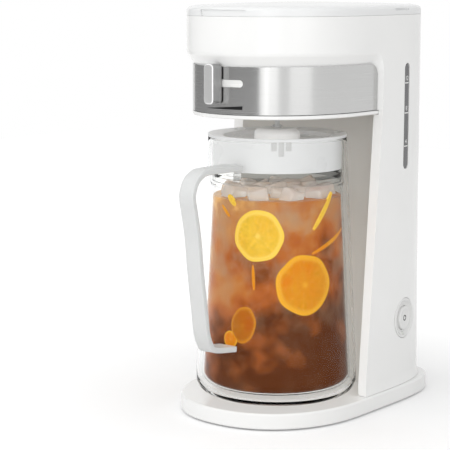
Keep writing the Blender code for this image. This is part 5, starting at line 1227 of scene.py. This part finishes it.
TEA_TOP = 0.1950
TEA_GAP = 0.0004
ICE_RINGS = ((0.0235, 5, 0.3), (0.0425, 9, 0.1))
SLICE_WEDGES = 9
SLICE_OUT = 0.00034
TEA_STOPS = ((0.0, (0.105, 0.028, 0.007)), (0.22, (0.26, 0.070, 0.017)), (0.44, (0.45, 0.122, 0.027)),
             (0.66, (0.53, 0.185, 0.046)), (0.86, (0.58, 0.27, 0.095)), (1.0, (0.78, 0.43, 0.15)))


def tea_material():
    """Iced tea: amber at the top and dark at the bottom, with clouds where ice and fruit have stirred it."""
    made = new_material("iced_tea", (0.35, 0.10, 0.03), 0.12, IOR=1.10)
    place = node(made, "TexCoord")["Object"]
    split = node(made, "SeparateXYZ", {"Vector": place})
    cloud = object_noise(made, 34.0, (1.0, 1.0, 1.05), detail=5.0, roughness=0.50)
    shift = spread(made, cloud, -0.046, 0.046, 0.34, 0.66)
    mottled = node(made, "Math", {0: split["Z"], 1: shift}, operation="ADD")[0]
    # Darker towards +X, where less light comes through
    darker = spread(made, split["X"], 0.004, -0.064, -0.02, 0.06)
    height = node(made, "Math", {0: mottled, 1: darker}, operation="ADD")[0]
    depth = ramp(made, spread(made, height, 0.0, 1.0, VESSEL_FLOOR, TEA_TOP), TEA_STOPS)
    # Paler, greyer wisps where melting ice thins the tea
    wisps = object_noise(made, 46.0, (1.0, 1.0, 0.8), detail=5.0, roughness=0.55)
    high_up = spread(made, split["Z"], 0.12, 1.0, 0.080, 0.135)
    pale = spread(made, wisps, 0.0, 0.72, 0.44, 0.68)
    haze = node(made, "Math", {0: pale, 1: high_up}, operation="MULTIPLY")[0]
    feed(made, shader_of(made), {"Base Color": mixed(made, haze, depth, (0.44, 0.275, 0.165, 1.0)),
                                 "Roughness": spread(made, cloud, 0.10, 0.24, 0.3, 0.7)})
    bump(made, cloud, 0.15, 0.001)
    return made


def make_tea():
    gap = TEA_GAP
    low_z = VESSEL_FLOOR + gap + VESSEL_CORNER
    profile = [(0, VESSEL_FLOOR + gap),
               *round_foot(VESSEL_FOOT_RADIUS - gap, VESSEL_FLOOR + gap, VESSEL_CORNER, 8)]
    profile += [(inner_radius(z) - gap, z) for z in spaced(low_z, TEA_TOP, 24)[1:]]
    profile += [(inner_radius(TEA_TOP) - gap - 0.003, TEA_TOP + 0.0001), (0, TEA_TOP)]
    obj = piece(("tea_body", turned(profile)), tea_material(), "pitcher", sharp=60.0)
    # Tea lets light through, so it doesn't shade what is round it
    hide_from(obj, "shadow", "diffuse")


def fruit_material(name, flesh, pith, rind, mottle=0.8):
    """Citrus: the mesh says how far a point is into the pulp and into the rind."""
    made = new_material(name, flesh, 0.30, IOR=1.15)
    pulp, skin = (node(made, "Attribute", attribute_name=tone)["Fac"] for tone in ("pulp", "skin"))
    grain = object_noise(made, 420.0, detail=4.0)
    fleshy = ramp(made, grain, ((0.30, tint(flesh, 0.80)), (0.70, flesh)))
    blotches = spread(made, object_noise(made, 52.0, detail=3.0), 0.0, mottle, 0.42, 0.66)
    red, green, blue = flesh
    blotched = mixed(made, blotches, fleshy, (red * 0.92, green * 0.62, blue * 0.5, 1.0))
    inside = mixed(made, pulp, (*pith, 1.0), blotched)
    feed(made, shader_of(made), {"Base Color": mixed(made, skin, inside, (*rind, 1.0))})
    bump(made, grain, 0.25, 0.0004)
    return made


def on_tea(angle, z, out):
    radius = inner_radius(z) - TEA_GAP + out
    return Vector((radius * cos(angle), radius * sin(angle), z))


def on_wall(centre_angle, centre_z, across, up, out):
    """A point beside a place on the tea's side: across and up in metres along it."""
    around = inner_radius(centre_z) - TEA_GAP
    return on_tea(centre_angle + across / around, centre_z + up, out)


def toned_piece(name, mesh, surface, pulp, skin, sharp):
    """Makes a closed slice and writes on its points how far each is into the pulp and into the rind."""
    for tone, values in (("pulp", pulp), ("skin", skin)):
        mesh.attributes.new(tone, "FLOAT", "POINT").data.foreach_set("value", values)
    bm = bmesh.new()
    bm.from_mesh(mesh)
    bmesh.ops.remove_doubles(bm, verts=bm.verts, dist=0.0000005)
    bmesh.ops.recalc_face_normals(bm, faces=bm.faces)
    bm.to_mesh(mesh)
    bm.free()
    piece(scene_object(name, mesh), surface, "pitcher", sharp=sharp, weighted=False)


def clipped(value):
    return min(1.0, max(0.0, value))


def make_slice(name, degrees, z, radius, surface, narrow=1.0, lean=0.0, seed=1):
    """A round slice of lemon that lies against the inside of the pitcher."""
    rng = random.Random(seed)
    angle = radians(degrees)
    spokes, rings = 90, 15
    turn_off = rng.random() * tau
    wobble = [rng.uniform(-1, 1) for _ in range(6)]
    points, pulp, skin = [], [], []
    for share in shares(rings):
        for turn in spaced(0, tau, spokes)[:-1]:
            edge = 1 + 0.012 * sum(w * sin(turn * (n + 2) + n) for n, w in enumerate(wobble))
            across = radius * share * edge * cos(turn) * narrow
            up = radius * share * edge * sin(turn)
            across, up = across * cos(lean) - up * sin(lean), across * sin(lean) + up * cos(lean)
            line = max(0.0, 1 - abs(sin(SLICE_WEDGES * (turn + turn_off) / 2)) * max(share, 0.05) * 7.0)
            flesh = clipped((0.84 - share) / 0.05) * (1 - 0.35 * line) * clipped((share - 0.05) / 0.06)
            out = SLICE_OUT * (1.0 if share < 0.985 else 0.35) - 0.00008 * (1 - flesh)
            points.append(on_wall(angle, z, across, up, max(out, 0.00002)))
            pulp.append(flesh)
            skin.append(clipped((share - 0.90) / 0.04))
    # The back lies just inside the tea, so that the slice is a closed body
    for point in points[-spokes:]:
        points.append(point - Vector((point.x, point.y, 0)).normalized() * 0.0020)
        pulp.append(0.0)
        skin.append(1.0)
    faces = [(row + k, row + (k + 1) % spokes, row + spokes + (k + 1) % spokes, row + spokes + k)
             for row in range(0, (rings + 1) * spokes, spokes) for k in range(spokes)]
    faces.append(tuple(range(len(points) - 1, len(points) - 1 - spokes, -1)))
    mesh = bpy.data.meshes.new(name)
    mesh.from_pydata(points, [], faces)
    toned_piece(name, mesh, surface, pulp, skin, 50.0)


def make_edge_slice(name, start, end, width, surface):
    """A slice that floats edge-on: a slim lens between two places on the tea's side."""
    sides = 10
    (first, low_z), (last, high_z) = start, end
    around = inner_radius((low_z + high_z) / 2)
    across, up = radians(last - first) * around, high_z - low_z
    length = hypot(across, up)
    side_across, side_up = -up / length, across / length
    rings, pulp, skin = [], [], []
    for share in shares(40):
        half = width / 2 * sin(pi * clipped(between(0.06, 0.94, share))) ** 0.45
        ring = []
        for turn in spaced(0, pi, sides - 1):
            side = half * cos(turn)
            out = SLICE_OUT * sin(turn) - (0.0012 if turn in (0, pi) else 0.0)
            ring.append(on_wall(radians(first), low_z, across * share + side_across * side,
                                up * share + side_up * side, out))
            pulp.append(0.25 + 0.6 * sin(turn))
            skin.append(max(0.0, 1 - sin(turn) * 1.8))
        rings.append(ring)
    mesh = bpy.data.meshes.new(name)
    bm = loft(rings)
    bm.to_mesh(mesh)
    bm.free()
    toned_piece(name, mesh, surface, pulp, skin, 60.0)


def make_fruit():
    bright = fruit_material("lemon_near", (0.94, 0.58, 0.055), (0.96, 0.66, 0.12), (0.96, 0.64, 0.09), 0.25)
    amber = fruit_material("lemon_in_tea", (0.82, 0.33, 0.018), (0.83, 0.40, 0.035), (0.86, 0.42, 0.030))
    deep = fruit_material("lemon_deep", (0.52, 0.17, 0.015), (0.56, 0.21, 0.02), (0.62, 0.24, 0.022))
    make_slice("lemon_slice_upper", -69.5, 0.1654, 0.0225, bright, seed=3)
    make_slice("lemon_slice_middle", -29.6, 0.1225, 0.0262, amber, lean=0.15, seed=5)
    make_slice("lemon_slice_lower", -81.0, 0.0865, 0.0165, deep, narrow=0.72, lean=-0.18, seed=8)
    make_slice("lemon_slice_small", -92.5, 0.0725, 0.0075, amber, seed=11)
    make_slice("lemon_slice_rear", 150.0, 0.130, 0.0240, amber, seed=13)
    make_slice("lemon_slice_left", -165.0, 0.105, 0.0225, amber, seed=15)
    make_edge_slice("lemon_edge_top", (-20.8, 0.1700), (3.5, 0.2005), 0.0052, bright)
    make_edge_slice("lemon_edge_surface", (-92.0, 0.1905), (-101.0, 0.1985), 0.0056, bright)
    make_edge_slice("lemon_edge_right", (-22.5, 0.1490), (21.0, 0.1660), 0.0038, amber)
    make_edge_slice("lemon_edge_middle", (-72.1, 0.1182), (-73.5, 0.1399), 0.0030, amber)
    make_edge_slice("lemon_edge_left", (-98.5, 0.1800), (-109.0, 0.1890), 0.0034, amber)


def make_ice():
    """Cubes that float in the tea's surface, each with its edges melted round."""
    ice = glass("clear_ice", (0.95, 0.92, 0.88), 0.05, ior=1.24, relief=0.25, scale=160.0, weight=0.62)
    rng = random.Random(21)
    noise.seed_set(21)
    spots = [(0.0, 0.0)]
    for reach, count, shift in ICE_RINGS:
        for k in range(count):
            turn = tau * (k + shift) / count
            spots.append((reach * cos(turn), reach * sin(turn)))
    for number, (x, y) in enumerate(spots, 1):
        bm = bmesh.new()
        half = [rng.uniform(0.0072, 0.0088) for _ in range(3)]
        box(bm, [-h for h in half], half)
        ease_edges(bm, bm.edges[:], 0.0028, 4)
        spin = Matrix.Rotation(rng.uniform(0, tau), 4, "Z")
        for axis in ("X", "Y"):
            spin = spin @ Matrix.Rotation(rng.uniform(-0.35, 0.35), 4, axis)
        at = Matrix.Translation((x, y, TEA_TOP + rng.uniform(0.0005, 0.0022)))
        bmesh.ops.transform(bm, matrix=at @ spin, verts=bm.verts)
        for vert in bm.verts:
            vert.co += noise.noise_vector(vert.co * 160 + Vector((number, 0, 0))) * 0.0005
        obj = piece((f"ice_cube_{number:02d}", bm), ice, "pitcher", sharp=60.0, weighted=False)
        hide_from(obj, "shadow")


for make in (make_housing, make_front_panel, make_head_floor, make_band, make_scale_and_lips, make_knob,
             make_lid, make_base, make_window, make_button, make_pitcher_walls, make_handle,
             make_pitcher_lid, make_tea, make_fruit, make_ice):
    make()

CARRIED = {
    "lid_hinge_pin": PLAIN_STEEL, "base_plate": BLACK, "strength_slider": PALE, "slider_guide": PALE,
    "switch_housing": BLACK, "cord_gland": BLACK, "heater": CAST, "heater_water_pipe": PLAIN_STEEL,
    "heater_saddle_left": BLACK, "heater_saddle_right": BLACK, "thermostat": BLACK, "check_valve": PALE,
    "inlet_hose": SILICONE, "riser_tube": SILICONE, "spray_arm": PALE, "brew_basket": PALE,
    "brew_filter": FILTER, "drip_valve": SHADED, "drip_valve_spring": PLAIN_STEEL,
    "spring_retainer": PALE, "water_tank": SMOKE,
}
for number in range(1, 5):
    CARRIED[f"rubber_foot_{number}"] = RUBBER
    CARRIED[f"base_screw_{number}"] = PLAIN_STEEL
for name, surface in CARRIED.items():
    NODES[name].data.materials.clear()
    NODES[name].data.materials.append(surface)


# Floor, lights and camera


def blank(made):
    """Gives a material or a world an empty tree of nodes."""
    made.use_nodes = True
    made.node_tree.nodes.clear()
    return made


def seen_directly(made):
    """1 for rays of the camera, of polished surfaces and through glass, or else 0."""
    path = node(made, "LightPath")
    either = node(made, "Math", {0: path["Is Camera Ray"], 1: path["Is Glossy Ray"]}, operation="MAXIMUM")[0]
    return node(made, "Math", {0: either, 1: path["Is Transmission Ray"]}, operation="MAXIMUM")[0]


def make_stage():
    bm = bmesh.new()
    bmesh.ops.create_grid(bm, x_segments=1, y_segments=1, size=2.0)
    floor = rough_object("studio_floor", bm)
    made = blank(bpy.data.materials.new("white_floor"))
    # A little glow keeps the floor white: less of it near the machine, so that its shadow stays
    place = node(made, "TexCoord")["Object"]
    reach = node(made, "VectorMath", {0: place}, operation="LENGTH")["Value"]
    level = spread(made, reach, 0.20, 0.50, 0.12, 0.60)
    strength = node(made, "Math", {0: seen_directly(made), 1: level}, operation="MULTIPLY")[0]
    glow = node(made, "Emission", {"Strength": strength})[0]
    diffuse = node(made, "BsdfDiffuse", {"Color": (0.80, 0.80, 0.80, 1.0)})[0]
    node(made, "OutputMaterial", {"Surface": node(made, "AddShader", {0: diffuse, 1: glow})[0]})
    floor.data.materials.append(made)


def make_world(front, rear):
    """White for the camera, metal and glass. The light it casts falls off a little towards the rear."""
    made = blank(bpy.data.worlds.new("studio"))
    SCENE.world = made
    place = node(made, "TexCoord")["Generated"]
    ahead = Vector((-0.05, -1.0, 0.25)).normalized()
    toward = node(made, "VectorMath", {0: place, 1: ahead}, operation="DOT_PRODUCT")["Value"]
    white = (1.0, 1.0, 1.0, 1.0)
    plain = node(made, "Background", {"Color": white, "Strength": spread(made, toward, rear, front, -1.0)})[0]
    bright = node(made, "Background", {"Color": white, "Strength": 1.0})[0]
    mix = node(made, "MixShader", {"Fac": seen_directly(made), 1: plain, 2: bright})[0]
    node(made, "OutputWorld", {"Surface": mix})


def heading(azimuth, elevation):
    """Towards a place at these degrees, round from the front and up."""
    a, e = radians(azimuth), radians(elevation)
    return Vector((sin(a) * cos(e), -cos(a) * cos(e), sin(e)))


def aimed(name, data, place, back):
    """Puts a lamp or a camera at a place, with its back towards back."""
    obj = scene_object(name, data)
    obj.location = place
    obj.rotation_mode = "QUATERNION"
    obj.rotation_quaternion = (-back).to_track_quat("-Z", "Y")
    return obj


def softbox(name, azimuth, elevation, distance, size, power):
    lamp = bpy.data.lights.new(name, "AREA")
    lamp.shape = "RECTANGLE"
    lamp.size, lamp.size_y = size
    lamp.energy = power
    back = heading(azimuth, elevation)
    aimed(name, lamp, Vector((0, 0, 0.2)) + distance * back, back)


def make_card(azimuth, half_angle, radius, low_z, high_z, tone):
    """A dark card that only polished surfaces see, as photographers stand beside steel."""
    bm = bmesh.new()
    rows = []
    for degrees in spaced(azimuth - half_angle, azimuth + half_angle, 24):
        a = radians(degrees)
        rows.append([bm.verts.new((radius * sin(a), -radius * cos(a), z)) for z in (low_z, high_z)])
    join_rows(bm, rows)
    card = rough_object("studio_card", bm)
    made = blank(bpy.data.materials.new("dark_card"))
    glow = node(made, "Emission", {"Color": (tone, tone, tone, 1.0)})[0]
    node(made, "OutputMaterial", {"Surface": glow})
    card.data.materials.append(made)
    hide_from(card, "camera", "diffuse", "transmission", "shadow")


def make_camera():
    data = bpy.data.cameras.new("camera")
    data.lens = 128.0
    data.sensor_width = 36.0
    data.clip_start, data.clip_end = 0.05, 30.0
    SCENE.camera = aimed("camera", data, (0.84578, -1.14404 + AXIS_Y, 0.38362), heading(38.35, 8.68))


make_stage()
make_world(0.95, 0.46)
make_card(-47.0, 64.0, 1.1, 0.0, 1.4, 0.36)
softbox("key", 34.0, 22.0, 1.6, (0.55, 1.3), 2.8)
softbox("left_fill", -62.0, 30.0, 1.8, (1.0, 1.2), 3.0)
softbox("top", 20.0, 78.0, 1.7, (1.4, 1.4), 1.5)
softbox("front_fill", 8.0, 3.0, 1.7, (1.3, 0.9), 2.9)
softbox("right_fill", 72.0, 18.0, 1.8, (0.9, 1.2), 2.9)
softbox("front_high", -8.0, 42.0, 1.7, (1.0, 0.7), 2.6)
make_camera()
SCENE.view_settings.view_transform = "Standard"
